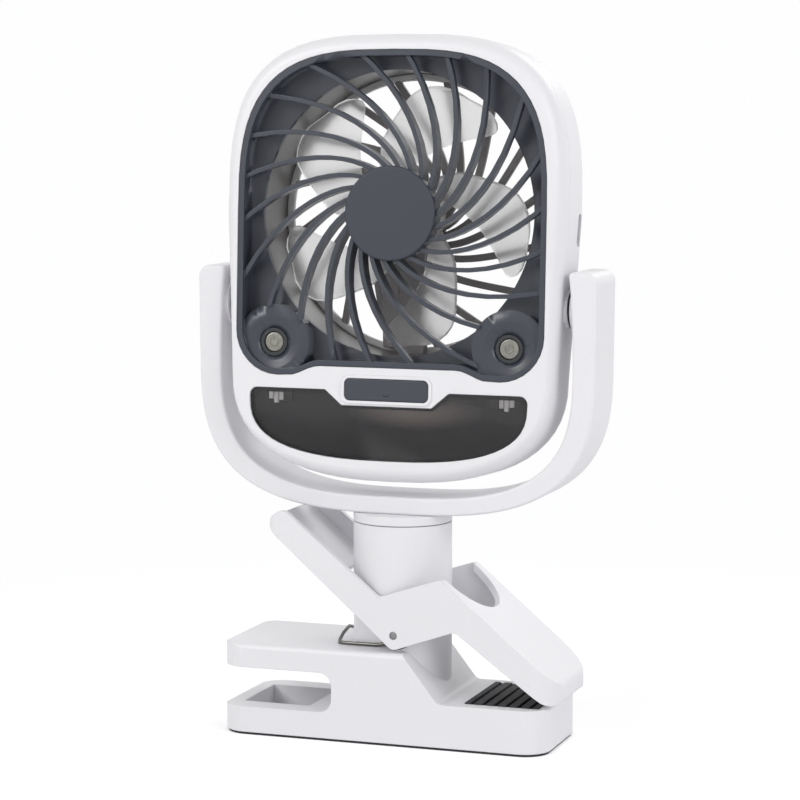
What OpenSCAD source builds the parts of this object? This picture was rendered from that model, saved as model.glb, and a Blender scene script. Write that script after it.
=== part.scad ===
// Clip-on battery fan with a tilting head, a lamp window and a spring clip base.
// Millimetres. +Z is up, +X points to the jaw, the head faces -Y.
// The origin is under the swivel axis, on the surface that the clip base stands on.

/* [Clip base] */
// Length of the base from the finger end to the swivel axis
base_left = 78.5; // [70:0.5:90]
// Length of the base from the swivel axis to the jaw end
base_right = 75; // [70:0.5:82]
// Width of the base
base_w = 58; // [57:0.5:70]
// Plan radius of the corners of the base
base_corner = 12; // [6:0.5:16]
// Height of the finger shelf on top of the base
shelf_z = 41.8; // [39:0.2:42]
// Soft edge along the top of the finger shelf
shelf_edge = 2.4; // [1:0.2:4]
// Height of the lower jaw face
jaw_z = 20.6; // [18:0.2:20.8]
// Underside of the finger slot
slot_low = 13; // [10:0.5:15]
// Height of the finger slot
slot_h = 18; // [14:0.5:20]
// Depth of the finger slot from the end of the base
slot_depth = 54.5; // [44:0.5:56]
// Thickness of the rubber sole
sole_t = 1.2; // [0.8:0.1:2]
// Length of the window through the lower plate
window_l = 32; // [20:1:36]
// Width of the window through the lower plate
window_w = 36; // [20:1:42]

/* [Neck] */
// Radius of the neck
neck_r = 22.3; // [21.5:0.1:23]
// Height of the top of the neck
neck_top = 97.6; // [94:0.2:110]
// Radius of the hollow up the neck
hollow_r = 9.8; // [9:0.1:10.8]
// Radius of the swivel spigot
spigot_r = 7.5; // [5:0.1:8]
// Wall of the plain bush in the neck
bush_wall = 2.5; // [1.5:0.1:3]
// Thickness of the swivel collar
collar_t = 4.1; // [3:0.1:8]

/* [Lever] */
// Distance of the pivot pin from the swivel axis
pin_x = 4.6; // [3:0.1:6]
// Height of the pivot pin
pin_z = 49.6; // [49.6:0.1:51]
// Radius of the pivot pin
pin_r = 1.75; // [1.2:0.05:2.2]
// Thickness of the lever's side walls
lever_wall = 3; // [2:0.1:3.4]
// Play between the neck and the lever's side walls
lever_play = 1.2; // [0.8:0.1:1.6]
// Thickness of the lever's webs
lever_web = 3; // [2:0.1:4]
// Length of the lever's handle from the corner under the pin
handle_l = 82; // [74:0.5:82]
// Depth of the lever's handle walls beside the pin
handle_t = 13.4; // [12:0.1:13.6]
// Depth of the lever's handle walls at the finger end
handle_tip_t = 11.5; // [10:0.1:12]
// Wire of the clip spring
wire_d = 1.6; // [1.2:0.1:1.6]
// Mean radius of the spring coils
coil_r = 5; // [4.6:0.1:5.2]
// Turns in each of the two coils
coil_turns = 3; // [2:1:3]
// Thickness of the rubber pad on the lower jaw
pad_t = 3; // [2:0.1:3]
// Height of the lower pad above the jaw face
pad_rise = 0.6; // [0.3:0.1:0.8]
// Radius of the half-round ridges of the upper pad
ridge_r = 1.2; // [0.8:0.1:1.4]

/* [Yoke] */
// Depth of the yoke band from front to back
yoke_d = 28; // [24:0.5:32]
// Thickness of the yoke band at the arms
arm_t = 10.6; // [9:0.1:13]
// Thickness of the yoke band under the head
band_t = 8; // [7:0.1:12]
// Height of the arms above the tilt axis
arm_rise = 17; // [14:0.5:22]
// Gap between the head and the yoke arms
side_gap = 3.1; // [2.8:0.1:6]
// Gap that the head's chin swings through
chin_gap = 6.2; // [3:0.1:10]
// Radius of the tilt axles
axle_r = 4; // [3:0.1:4.4]
// Lean of the head backwards at rest, in degrees
head_lean = 3; // [0:0.5:8]

/* [Head] */
// Width of the bezel beside the grille
grille_edge = 7.5; // [7.3:0.1:9]
// Depth of the head from front to back
head_d = 41.5; // [41:0.5:46]
// Distance of the front face in front of the tilt axis
face_front = 20.5; // [20:0.1:21]
// Drop of the head below the tilt axis
head_drop = 78.8; // [78:0.1:84]
// Wall of the bezel and the shell
wall = 2.2; // [1.6:0.1:2.3]
// Depth of the soft front edge
front_round = 10; // [8:0.5:10]
// Width of the soft front edge
front_inset = 6.4; // [5:0.1:6.6]
// Radius of the soft back edge
back_round = 13; // [10:0.5:13.5]

/* [Fan] */
// Radius of the air duct
duct_r = 63.6; // [60:0.1:72]
// Drop of the lowest point of the duct below the tilt axis
duct_drop = 22.9; // [22:0.1:23.2]
// Wall of the air duct
duct_wall = 1.6; // [1.2:0.1:1.8]
// Gap from the blade tips to the duct
tip_gap = 3.1; // [1.5:0.1:6]
// Radius of the rotor's hub
rotor_r = 17.5; // [16:0.1:19]
// Number of blades
blade_count = 5; // [3:1:7]
// Angle of the first blade from straight up, in degrees
blade_phase = 28; // [0:1:71]
// Radius of the motor
motor_r = 12; // [11:0.1:13]
// Radius of the motor shaft
shaft_r = 1.5; // [1:0.05:2]

/* [Grille] */
// Distance from the side of the grille frame to the air duct
duct_edge = 8.4; // [8:0.1:9.5]
// Number of swirled ribs
rib_count = 22; // [14:1:26]
// Width of a rib
rib_w = 2; // [1.4:0.1:2.4]
// Angle between a rib and the radius, in degrees
rib_swirl = 37; // [20:1:45]
// Radius of the hub disc
hub_r = 21; // [19:0.5:23]
// Width of the grille frame's rim
rim_w = 2.6; // [1.6:0.1:3]
// Radius of the bosses round the two buttons
boss_r = 17; // [13:0.5:18]
// Distance of each button from the side of the grille frame
button_edge = 16.8; // [16.4:0.1:17.5]
// Distance of the buttons below the tilt axis
button_drop = 17.6; // [17:0.1:18]
// Radius of the two round buttons
button_r = 4.6; // [3.6:0.1:4.8]
// Travel of the buttons and the key
button_travel = 0.8; // [0.5:0.1:0.9]

/* [Lamp] */
// Distance of the lamp window from the side of the head
lamp_edge = 14.3; // [14:0.1:18]
// Width of the centre key
key_w = 39.4; // [30:0.2:39.6]
// Height of the centre key
key_h = 9.7; // [8:0.1:9.8]
// Number of light emitters
led_count = 6; // [4:1:8]

/* [Hidden] */
$fn = 64;

white = [0.93, 0.93, 0.94];
slate = [0.30, 0.32, 0.35];
blade_grey = [0.76, 0.76, 0.77];
smoke = [0.22, 0.20, 0.19];
rubber = [0.10, 0.10, 0.11];
steel = [0.62, 0.62, 0.63];
nylon = [0.85, 0.85, 0.82];
board_green = [0.10, 0.35, 0.20];
beige_metal = [0.69, 0.68, 0.61];
cell_blue = [0.25, 0.45, 0.65];
copper = [0.72, 0.45, 0.25];

// Clearance of parts that move past each other, of fixed seats, and of shafts in bushes
run_gap = 0.3;
seat_gap = 0.1;
shaft_gap = 0.05;
// Overlap that lets a cut run clean through a face, or roots one form in another
cut = 1;

// Heights that stack up from the standing surface
collar_z = neck_top + run_gap;
yoke_z = collar_z + collar_t;
tilt_z = yoke_z + band_t + chin_gap + head_drop;

// Sizes of the head that follow from the air duct
grille_half = duct_r + duct_edge;
head_half = grille_half + grille_edge;
head_w = 2 * head_half;
fan_z = duct_r - duct_drop;
waist_z = fan_z - 0.7;
head_rise = waist_z + head_half + 0.4;
blade_tip_r = duct_r - tip_gap;
button_x = grille_half - button_edge;
lamp_half = head_half - lamp_edge;

// Small vector and outline helpers

function unit(v) = v / norm(v);
function turn(v, a) = [v.x * cos(a) - v.y * sin(a), v.x * sin(a) + v.y * cos(a)];
function sign_pow(v, p) = sign(v) * pow(abs(v), p);
function last(list) = len(list) - 1;
function flip(list) = [for (i = [last(list):-1:0]) list[i]];

// Arc that rounds the corner q of the path p, q, s with a radius
function corner_arc(p, q, s, r, steps) =
    r == 0 ? [q] :
    let (u = unit(p - q), v = unit(s - q))
    let (half = acos(u * v) / 2)
    let (c = q + unit(u + v) * r / sin(half))
    let (from = q + u * r / tan(half) - c)
    let (side = sign(u.x * v.y - u.y * v.x))
    [for (i = [0:steps]) c + turn(from, -side * (180 - 2 * half) * i / steps)];

// Outline through corner points given as [x, y, radius]
function rounded(corners, steps = 6) = [
    for (i = [0:last(corners)])
        let (n = len(corners))
        let (a = corners[(i + n - 1) % n], b = corners[i], c = corners[(i + 1) % n])
        for (p = corner_arc([a.x, a.y], [b.x, b.y], [c.x, c.y], b.z, steps)) p
];

// Part of a superellipse about the point [cx, cy]
function super_arc(cx, cy, a, b, power, from, to, steps) = [
    for (i = [0:steps])
        let (t = from + (to - from) * i / steps)
        [cx + a * sign_pow(cos(t), 2 / power), cy + b * sign_pow(sin(t), 2 / power)]
];

module along_y(y0, y1) translate([0, y1, 0]) rotate([90, 0, 0]) linear_extrude(y1 - y0) children();

module rod_y(x, z, r, y0, y1) along_y(y0, y1) translate([x, z]) circle(r);

module rod_x(y, z, r, x0, x1) translate([x0, y, z]) rotate([0, 90, 0]) cylinder(r = r, h = x1 - x0);

module block(low, high) translate(low) cube(high - low);

// Turns a profile of [radius, y] points about the fan axis
module revolve_fan(profile) translate([0, 0, fan_z]) rotate([90, 0, 0])
    rotate_extrude($fn = 96) polygon([for (p = profile) [p.x, -p.y]]);

// Places head pieces, which are drawn about the tilt axis, in the leaning head
module in_head() translate([0, 0, tilt_z]) rotate([-head_lean, 0, 0]) children();

module both_sides() {
    children();
    mirror([1, 0, 0]) children();
}

// Solid through a list of rings that all have the same number of points
function ring_quads(rows, count, start, inside) = [
    for (i = [0:rows - 2], j = [0:count - 1])
        let (k = (j + 1) % count)
        let (a = start + i * count + j, b = start + i * count + k)
        inside ? [a, a + count, b + count, b] : [a, b, b + count, a + count]
];
module loft(rings) {
    count = len(rings[0]);
    rows = len(rings);
    polyhedron(
        points = [for (ring = rings) each ring],
        faces = concat(
            ring_quads(rows, count, 0, false),
            [[for (j = [count - 1:-1:0]) j]],
            [[for (j = [0:count - 1]) (rows - 1) * count + j]]
        )
    );
}

// Cup that is open towards -Y, from outer and inner rings that start at its rim
module loft_cup(outer, inner) {
    count = len(outer[0]);
    inner_start = len(outer) * count;
    inner_end = inner_start + (len(inner) - 1) * count;
    polyhedron(
        points = [for (ring = concat(outer, inner)) each ring],
        faces = concat(
            ring_quads(len(outer), count, 0, false),
            ring_quads(len(inner), count, inner_start, true),
            [for (j = [0:count - 1]) let (k = (j + 1) % count) [j, inner_start + j, inner_start + k, k]],
            [[for (j = [0:count - 1]) inner_start - count + j]],
            [[for (j = [count - 1:-1:0]) inner_end + j]]
        )
    );
}

// Clip base

slot_top = slot_low + slot_h;
slot_end = slot_depth - base_left;
window_mid = 8 + window_l / 2 - base_left;
half_w = base_w / 2;

// Pads of the jaw, let into the faces that carry them
pad_from = 37;
pad_to = base_right - 4;
pad_half_w = half_w - 6;
pad_sink = pad_t - pad_rise;
groove_w = 1.8;
groove_pitch = 5.4;
groove_depth = 1.1;

// Screws of the sole
sole_inset = 0.8;
sole_screw_r = 1.5;
sole_screw_l = 9;
sole_head_r = 2.8;
sole_head_t = 0.8;
sole_screw_places = [for (x = [-18, base_right - 16], s = [-1, 1]) [x, s * (half_w - 9)]];

// Swivel seat in the neck, and the pockets beside the pin that hold the spring coils
neck_shelf_t = 4;
bush_h = 17;
bush_z = neck_top - bush_h;
bush_r = spigot_r + shaft_gap + bush_wall;
hollow_top = bush_z - neck_shelf_t;
wall_in = neck_r + lever_play;
wall_out = wall_in + lever_wall;
coil_pitch = wire_d + 0.5;
coil_out = wall_in - 1.1 - wire_d / 2;
coil_in = coil_out - coil_turns * coil_pitch;
pocket_in = coil_in - wire_d / 2 - 0.5;
pocket_r = coil_r + wire_d / 2 + 1.4;
spring_boss_r = coil_r - wire_d / 2 - 0.4;

base_side = rounded([
    [-base_left, sole_t, 0],
    [base_right, sole_t, 0],
    [base_right, jaw_z, 2],
    [neck_r + 4, jaw_z, 4],
    [pin_x + 5, shelf_z, 4],
    [-base_left, shelf_z, 2],
    [-base_left, slot_top, 1.5],
    [slot_end, slot_top, 6],
    [slot_end, slot_low, 6],
    [-base_left, slot_low, 1.5],
]);

module base_plan(inset) {
    r = base_corner - inset;
    x = [base_corner - base_left, base_right - base_corner];
    y = half_w - base_corner;
    for (px = x, py = [-y, y]) translate([px, py]) circle(r);
    translate([x[0] - r, -y]) square([x[1] - x[0] + 2 * r, 2 * y]);
    translate([x[0], -y - r]) square([x[1] - x[0], 2 * (y + r)]);
}

module window_plan(margin) translate([window_mid, 0])
    square([window_l + 2 * margin, window_w + 2 * margin], center = true);

module base_body() color(white) difference() {
    union() {
        intersection() {
            along_y(-half_w, half_w) polygon(base_side);
            linear_extrude(shelf_z + cut) base_plan(0);
            // Soft edges along the finger shelf
            rotate([90, 0, 90]) translate([0, 0, -base_left]) linear_extrude(base_left + base_right)
                polygon(rounded([
                    [-half_w, 0, 0],
                    [half_w, 0, 0],
                    [half_w, shelf_z, shelf_edge],
                    [-half_w, shelf_z, shelf_edge],
                ]));
        }
        translate([0, 0, jaw_z - cut]) cylinder(r = neck_r, h = neck_top - jaw_z + cut, $fn = 96);
    }
    translate([0, 0, -cut]) linear_extrude(slot_low + 2 * cut) window_plan(0);
    // Hollow neck, the hole in its shelf and the seat of the swivel bush
    translate([0, 0, -cut]) cylinder(r = hollow_r, h = hollow_top + cut);
    translate([0, 0, hollow_top - cut]) cylinder(r = spigot_r + run_gap, h = neck_shelf_t + 2 * cut);
    translate([0, 0, bush_z]) cylinder(r = bush_r, h = bush_h + cut);
    // Pin bore, and a pocket on each side with a boss that carries the spring coil
    rod_y(pin_x, pin_z, pin_r, -neck_r - cut, neck_r + cut);
    for (s = [0, 1]) mirror([0, s, 0]) difference() {
        union() {
            rod_y(pin_x, pin_z, pocket_r, pocket_in, neck_r + cut);
            block([-neck_r - cut, pocket_in, shelf_z], [pin_x, neck_r + cut, pin_z + 2 * pocket_r]);
        }
        rod_y(pin_x, pin_z, spring_boss_r, pocket_in - cut, coil_out + wire_d / 2);
    }
    // Recess of the jaw pad and the screw holes
    block([pad_from, -pad_half_w, jaw_z - pad_sink], [pad_to, pad_half_w, jaw_z + cut]);
    for (p = sole_screw_places) translate([p.x, p.y, 0]) cylinder(r = sole_screw_r, h = sole_screw_l + cut);
}

module base_sole() color(rubber) difference() {
    linear_extrude(sole_t) base_plan(sole_inset);
    translate([0, 0, -cut]) linear_extrude(sole_t + 2 * cut) window_plan(0.5);
    for (p = sole_screw_places) translate([p.x, p.y, -cut]) {
        cylinder(r = sole_screw_r + seat_gap, h = sole_t + 2 * cut);
        cylinder(r = sole_head_r + seat_gap, h = sole_head_t + cut);
    }
}

module cross_slot(size, depth) {
    block([-size, -size / 6, -cut], [size, size / 6, depth]);
    block([-size / 6, -size, -cut], [size / 6, size, depth]);
}

module sole_screws() color(steel) for (p = sole_screw_places) translate([p.x, p.y, 0]) difference() {
    union() {
        translate([0, 0, 0.1]) cylinder(r = sole_head_r, h = sole_head_t - 0.1);
        translate([0, 0, 0.3]) cylinder(r = sole_screw_r, h = sole_screw_l);
    }
    cross_slot(1.9, 0.45);
}

module lower_jaw_pad() color(rubber) difference() {
    block([pad_from, -pad_half_w, jaw_z - pad_sink], [pad_to, pad_half_w, jaw_z - pad_sink + pad_t]);
    for (x = [pad_from + groove_pitch / 2:groove_pitch:pad_to - groove_w]) block(
        [x, -half_w, jaw_z - pad_sink + pad_t - groove_depth],
        [x + groove_w, half_w, jaw_z + pad_t + cut]
    );
}

module lever_pin() color(steel) rod_y(pin_x, pin_z, pin_r, -wall_out + 0.4, wall_out - 0.4);

// Handle of the lever: points along it from the corner under the pin, and up through its depth
handle_foot = [-0.6, -6.8];
handle_dir = unit([-59.1, 52.1]);
handle_up = [handle_dir.y, -handle_dir.x];
function handle_point(along, up) = handle_foot + along * handle_dir + up * handle_up;
handle_web_up = 1.7;
handle_web_from = 43;

// Double torsion spring: two coils round the pin, two arms under the handle's web,
// and one bent bridge of wire that lies on the shelf
leg_z = shelf_z + wire_d / 2 + 0.05;
bridge_x = -26;
bridge_rise = 4.6;
coil_steps = 8;
coil_start = -100;
arm_seat_up = handle_web_up - wire_d / 2 - 0.05;
arm_seat = handle_point(handle_web_from - 3, arm_seat_up);
arm_tip = handle_point(handle_web_from + 13, arm_seat_up);
coil_finish = atan2(arm_seat.y, arm_seat.x) - acos(coil_r / norm(arm_seat)) + 360 * (coil_turns - 1);
coil_points = coil_steps * coil_turns;
coil_path = [
    for (i = [0:coil_points])
        let (f = i / coil_points)
        let (a = coil_start + (coil_finish - coil_start) * f)
        [pin_x + coil_r * cos(a), coil_in + (coil_out - coil_in) * f, pin_z + coil_r * sin(a)]
];
near_half = concat(
    [
        [bridge_x, 0, leg_z + bridge_rise],
        [bridge_x, coil_in * 0.5, leg_z + bridge_rise * 0.62],
        [bridge_x, coil_in - 3, leg_z + 0.5],
        [bridge_x + 0.8, coil_in - 0.9, leg_z],
        [bridge_x + 3, coil_in, leg_z],
        [pin_x - 12, coil_in, leg_z]
    ],
    coil_path,
    [
        [pin_x + arm_seat.x, coil_out, pin_z + arm_seat.y],
        [pin_x + arm_tip.x, coil_out, pin_z + arm_tip.y]
    ]
);
spring_path = concat(
    [for (i = [last(near_half):-1:1]) [near_half[i].x, -near_half[i].y, near_half[i].z]],
    near_half
);

// Rings of points round a bent wire that keep their turn from one bend to the next
function path_dir(path, i) = unit(path[min(i + 1, last(path))] - path[max(i - 1, 0)]);
function wire_side(d, first_half) =
    abs(d.y) > 0.3 ? unit([0, 0, 1] - d * d.z) :
    first_half ? unit(cross([0, 1, 0], d)) : unit(cross(d, [0, 1, 0]));
function wire_ring(path, i, r, sides) =
    let (d = path_dir(path, i))
    let (side = wire_side(d, i < last(path) / 2))
    let (up = cross(side, d))
    [for (k = [0:sides - 1]) path[i] + r * (cos(360 * k / sides) * side + sin(360 * k / sides) * up)];

module clip_spring() color(steel)
    loft([for (i = [0:last(spring_path)]) wire_ring(spring_path, i, wire_d / 2, 6)]);

// Least gap of the coiled wire to itself, between points at least half a turn apart
coil_gap = min([
    for (i = [0:coil_points], j = [i + coil_steps / 2:1:coil_points]) norm(coil_path[i] - coil_path[j])
]) - wire_d;
echo("least gap of the spring to itself", coil_gap);

module swivel_bush() color(nylon) translate([0, 0, bush_z]) difference() {
    cylinder(r = bush_r - shaft_gap / 2, h = bush_h);
    translate([0, 0, -cut]) cylinder(r = spigot_r + shaft_gap, h = bush_h + 2 * cut);
}

// Lever, drawn about the pin: handle to the left, jaw to the right

jaw_elbow = [28.6, 3.4];
jaw_heel = [69, -26.4];
jaw_toe = [75.6, -28.2];
jaw_nose = [76.2, -18.8];
lever_ridge = [22.1, 26.4];
jaw_slope = (jaw_nose.y - lever_ridge.y) / (jaw_nose.x - lever_ridge.x);
jaw_fill_x = 36;
nose_r = 13;
handle_end_r = 5;
handle_end_drop = 4.6;
handle_end_up = 2.2;
lever_end = handle_point(handle_l, handle_end_up);
lever_side = rounded([
    [handle_foot.x, handle_foot.y, 4],
    [jaw_elbow.x, jaw_elbow.y, 2.5],
    [jaw_heel.x, jaw_heel.y, 8],
    [jaw_toe.x, jaw_toe.y, 3],
    [jaw_nose.x, jaw_nose.y, 4],
    [lever_ridge.x, lever_ridge.y, 3.5],
    [handle_point(20.6, handle_t).x, handle_point(20.6, handle_t).y, 3],
    [handle_point(handle_l - 2.2, handle_tip_t).x, handle_point(handle_l - 2.2, handle_tip_t).y, 4.5],
    [lever_end.x, lever_end.y, 4.4],
    [handle_point(handle_l - handle_end_drop, 0).x, handle_point(handle_l - handle_end_drop, 0).y, 4],
]);

module at_pin() translate([pin_x, 0, pin_z]) children();

module lever() color(white) at_pin() difference() {
    intersection() {
        union() {
            for (s = [0, 1]) mirror([0, s, 0]) along_y(wall_in, wall_out) polygon(lever_side);
            // Web of the handle
            along_y(-wall_in - cut, wall_in + cut) intersection() {
                polygon(lever_side);
                polygon([
                    handle_point(handle_web_from, handle_web_up),
                    handle_point(handle_web_from, handle_web_up + lever_web),
                    handle_point(handle_l + cut, handle_web_up + lever_web),
                    handle_point(handle_l + cut, handle_web_up),
                ]);
            }
            // Web along the top of the jaw arm
            along_y(-wall_in - cut, wall_in + cut) intersection() {
                polygon(lever_side);
                polygon([
                    lever_ridge + [0, cut],
                    lever_ridge - [0, lever_web * 1.3],
                    jaw_nose + [cut, jaw_slope * cut - lever_web * 1.3],
                    jaw_nose + [cut, cut],
                ]);
            }
            // Solid nose that backs the rubber pad
            along_y(-wall_in - cut, wall_in + cut) intersection() {
                polygon(lever_side);
                translate([jaw_fill_x, jaw_toe.y - cut]) square([jaw_nose.x, 60]);
            }
        }
        // Rounded nose and handle end, seen from above
        translate([0, 0, -60]) linear_extrude(130) hull() for (s = [-1, 1]) {
            translate([lever_end.x + handle_end_r, s * (wall_out - handle_end_r)]) circle(handle_end_r, $fn = 32);
            translate([jaw_nose.x - nose_r, s * (wall_out - nose_r)]) circle(nose_r, $fn = 32);
        }
    }
    // Round-ended throat that the neck stands in, square to the top of the arm
    translate([throat_mid.x, 0, throat_mid.y]) rotate([0, -atan(jaw_slope), 0]) {
        translate([0, 0, -50]) cylinder(r = throat_r, h = 60);
        block([-14, -throat_r, -20], [0, throat_r, 10]);
    }
    // Recess of the upper pad
    along_y(-upper_pad_half_w, upper_pad_half_w) polygon(upper_pad_side(-4));
    rod_y(0, 0, pin_r + shaft_gap, -wall_out - cut, wall_out + cut);
}
throat_r = wall_in - 2.2;
throat_mid = lever_ridge + 1.6 * [1, jaw_slope];

// The upper pad is let into the jaw arm's underside, with half-round ridges across it
upper_pad_half_w = wall_in - 2;
upper_pad_sink = 1.4;
heel_dir = unit(jaw_heel - jaw_elbow);
heel_up = [-heel_dir.y, heel_dir.x];
function underside(along, up) = jaw_elbow + along * heel_dir + up * heel_up;
upper_pad_from = 11.5;
upper_pad_to = 42;
upper_ridge_pitch = 5.2;
function upper_pad_side(low) = [
    underside(upper_pad_from, low),
    underside(upper_pad_to, low),
    underside(upper_pad_to, upper_pad_sink),
    underside(upper_pad_from, upper_pad_sink),
];

module upper_jaw_pad() color(rubber) at_pin() {
    along_y(-upper_pad_half_w, upper_pad_half_w) polygon(upper_pad_side(0));
    for (a = [upper_pad_from + 1.5:upper_ridge_pitch:upper_pad_to - ridge_r]) let (p = underside(a, 0))
        rod_y(p.x, p.y, ridge_r, -upper_pad_half_w, upper_pad_half_w);
}

// Head outline about the tilt axis: a superellipse above the waist, a blunter one below the hip

hip_z = -30;
hip_step = 4.3;
hip_half = head_half - hip_step;
head_steps = 28;
// The front face keeps straight sides beside the grille, so its soft edge is narrower at the hip
function head_outline(d, soft = 0) = concat(
    super_arc(0, waist_z, head_half - d - soft, head_rise - waist_z - d - soft, 3.25, 0, 180, head_steps),
    super_arc(
        0, hip_z, hip_half - d - soft * (1 - hip_step / front_inset), head_drop + hip_z - d - soft,
        2.55, 180, 360, head_steps
    )
);
function half_width_at_hip_side(z) = head_half + (hip_half - head_half) * (waist_z - z) / (waist_z - hip_z);
function ring_at(points, y) = [for (p = points) [p.x, y, p.y]];

// Planes of the head, from front to back
face_y = -face_front;
back_y = face_y + head_d;
seam_y = face_y + front_round + 0.5;
grille_front = face_y + 0.4;
rib_front = face_y + 1.9;
floor_y = face_y + 10;
floor_t = 2;
floor_back = floor_y + floor_t;
back_in = back_y - wall;
round_steps = 6;

front_rings = [
    for (i = [0:round_steps])
        let (t = 90 * i / round_steps)
        ring_at(head_outline(0, front_inset * (1 - sin(t))), -(face_y + front_round * (1 - cos(t))))
];
front_rings_in = [
    for (i = [0:round_steps])
        let (t = 90 * i / round_steps)
        ring_at(
            head_outline(wall, front_inset * (1 - sin(t))),
            -(face_y + wall + (front_round - wall) * (1 - cos(t)))
        )
];
back_rings = [
    for (i = [0:round_steps])
        let (t = 90 * i / round_steps)
        ring_at(head_outline(back_round * (1 - cos(t))), back_y - back_round * (1 - sin(t)))
];
back_rings_in = [
    for (i = [0:round_steps])
        let (t = 90 * i / round_steps)
        ring_at(
            head_outline(wall + (back_round - wall) * (1 - cos(t))),
            back_in - (back_round - wall) * (1 - sin(t))
        )
];

// Grille frame outline, with a lobe round each button
grille_low = -27.5;
lobe_r = 20;
lobe_low = grille_low - 4.5;
function lobe_side(d) = concat(
    [for (i = [0:8]) [
        grille_half - d - (lobe_r - d) * (1 - cos(90 * i / 8)),
        lobe_low + lobe_r - (lobe_r - d) * sin(90 * i / 8)
    ]],
    [for (i = [1:6])
        let (f = i / 6)
        [grille_half - lobe_r - 5 - 15 * f, lobe_low + d + (grille_low - lobe_low) * (3 - 2 * f) * f * f]]
);
function grille_outline(d) = concat(
    super_arc(0, fan_z, grille_half - d, grille_half - 0.2 - d, 3.1, 0, 180, 32),
    [for (p = lobe_side(d)) [-p.x, p.y]],
    flip(lobe_side(d))
);

// Lamp window outline, with a notch in its top edge under the key
lamp_top = -37.8;
lamp_notch = -44.6;
lamp_waist = -41.8;
lamp_drop = 27.2;
function lamp_outline(d) = concat(
    super_arc(0, lamp_waist - d, lamp_half - d, lamp_drop - 2 * d, 2.7, 180, 360, 28),
    corner_arc([lamp_half - d, lamp_waist - d], [lamp_half - d, lamp_top - d], [29, lamp_top - d], 3.6, 4),
    [[29 + d, lamp_top - d], [21 + d, lamp_notch - d], [-21 - d, lamp_notch - d], [-29 - d, lamp_top - d]],
    corner_arc([-29, lamp_top - d], [d - lamp_half, lamp_top - d], [d - lamp_half, lamp_waist - d], 3.6, 4)
);

key_z = -37.4;
function key_corners(margin, r) = rounded([
    [-key_w / 2 - margin, key_z - key_h / 2 - margin, r],
    [key_w / 2 + margin, key_z - key_h / 2 - margin, r],
    [key_w / 2 + margin, key_z + key_h / 2 + margin, r],
    [-key_w / 2 - margin, key_z + key_h / 2 + margin, r],
]);

key_rim = 1.6;
key_rim_rise = 0.5;
fit_gap = 0.15;

module front_bezel() color(white) in_head() difference() {
    union() {
        mirror([0, 1, 0]) loft_cup(
            concat([ring_at(head_outline(0), -seam_y)], flip(front_rings)),
            concat([ring_at(head_outline(wall), -seam_y)], flip(front_rings_in))
        );
        // Raised rim round the key
        along_y(face_y - key_rim_rise, face_y + cut) polygon(key_corners(key_rim, 4));
    }
    along_y(face_y - cut, floor_y) polygon(grille_outline(-fit_gap));
    along_y(face_y - cut, floor_y) polygon(lamp_outline(0));
    along_y(face_y - cut, floor_y) polygon(key_corners(fit_gap, 2.6));
}

// Rear shell

tilt_boss_r = 8.5;
tilt_bush_r = axle_r + shaft_gap + 1.5;
tilt_boss_x = half_width_at_hip_side(0) + 1.5;
tilt_boss_l = 18;
tilt_boss_in = tilt_boss_x - tilt_boss_l;
washer_t = 1.6;
yoke_pad_x = tilt_boss_x + washer_t + 2 * seat_gap;
screw_post_r = 4;
screw_post_y = floor_back + 6;
housing_screw_r = 1.5;
housing_head_r = 3;
housing_head_y = back_y - 2.6;
screw_top = [grille_half - 20, fan_z + 52.3];
screw_low = [grille_half - 16, -29];
screw_places = [for (p = [screw_top, screw_low], s = [-1, 1]) [s * p.x, p.y]];
vent_r = duct_r - 1.6;
charge_y = 7;
charge_z = 34.6;
charge_slot_w = 5.5;
charge_slot_h = 14.5;
charge_x = head_half;

module charge_slot_cut() translate([charge_x - wall - 2 * cut, charge_y, charge_z]) rotate([0, 90, 0])
    linear_extrude(wall + 4 * cut) {
        for (s = [-1, 1]) translate([s * (charge_slot_h - charge_slot_w) / 2, 0]) circle(charge_slot_w / 2);
        square([charge_slot_h - charge_slot_w, charge_slot_w], center = true);
    }

module rear_shell() color(white) in_head() difference() {
    union() {
        loft_cup(
            concat([ring_at(head_outline(0), seam_y + seat_gap)], back_rings),
            concat([ring_at(head_outline(wall), seam_y + seat_gap)], back_rings_in)
        );
        both_sides() rod_x(0, 0, tilt_boss_r, tilt_boss_in, tilt_boss_x);
        for (p = screw_places) rod_y(p.x, p.y, screw_post_r, screw_post_y + seat_gap, back_in + cut);
    }
    rod_y(0, fan_z, vent_r, back_in - cut, back_y + cut);
    both_sides() rod_x(0, 0, tilt_bush_r, tilt_boss_in - cut, tilt_boss_x + cut);
    for (p = screw_places) {
        rod_y(p.x, p.y, housing_screw_r + fit_gap, screw_post_y, back_y);
        rod_y(p.x, p.y, housing_head_r + fit_gap, housing_head_y, back_y + cut);
    }
    charge_slot_cut();
}

module tilt_bushes() color(nylon) in_head() both_sides() difference() {
    rod_x(0, 0, tilt_bush_r - shaft_gap / 2, tilt_boss_in, tilt_boss_x);
    rod_x(0, 0, axle_r + shaft_gap, tilt_boss_in - cut, tilt_boss_x + cut);
}

module housing_screws() color(steel) in_head() for (p = screw_places) difference() {
    union() {
        rod_y(p.x, p.y, housing_screw_r, floor_back + 1, housing_head_y + 0.5);
        rod_y(p.x, p.y, housing_head_r, housing_head_y + seat_gap, back_y - 0.6);
    }
    translate([p.x, back_y - 0.6, p.y]) rotate([90, 0, 0]) cross_slot(2, 1);
}

// Front grille: rim, floor with the round opening, swirled ribs and a hub ring

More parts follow.
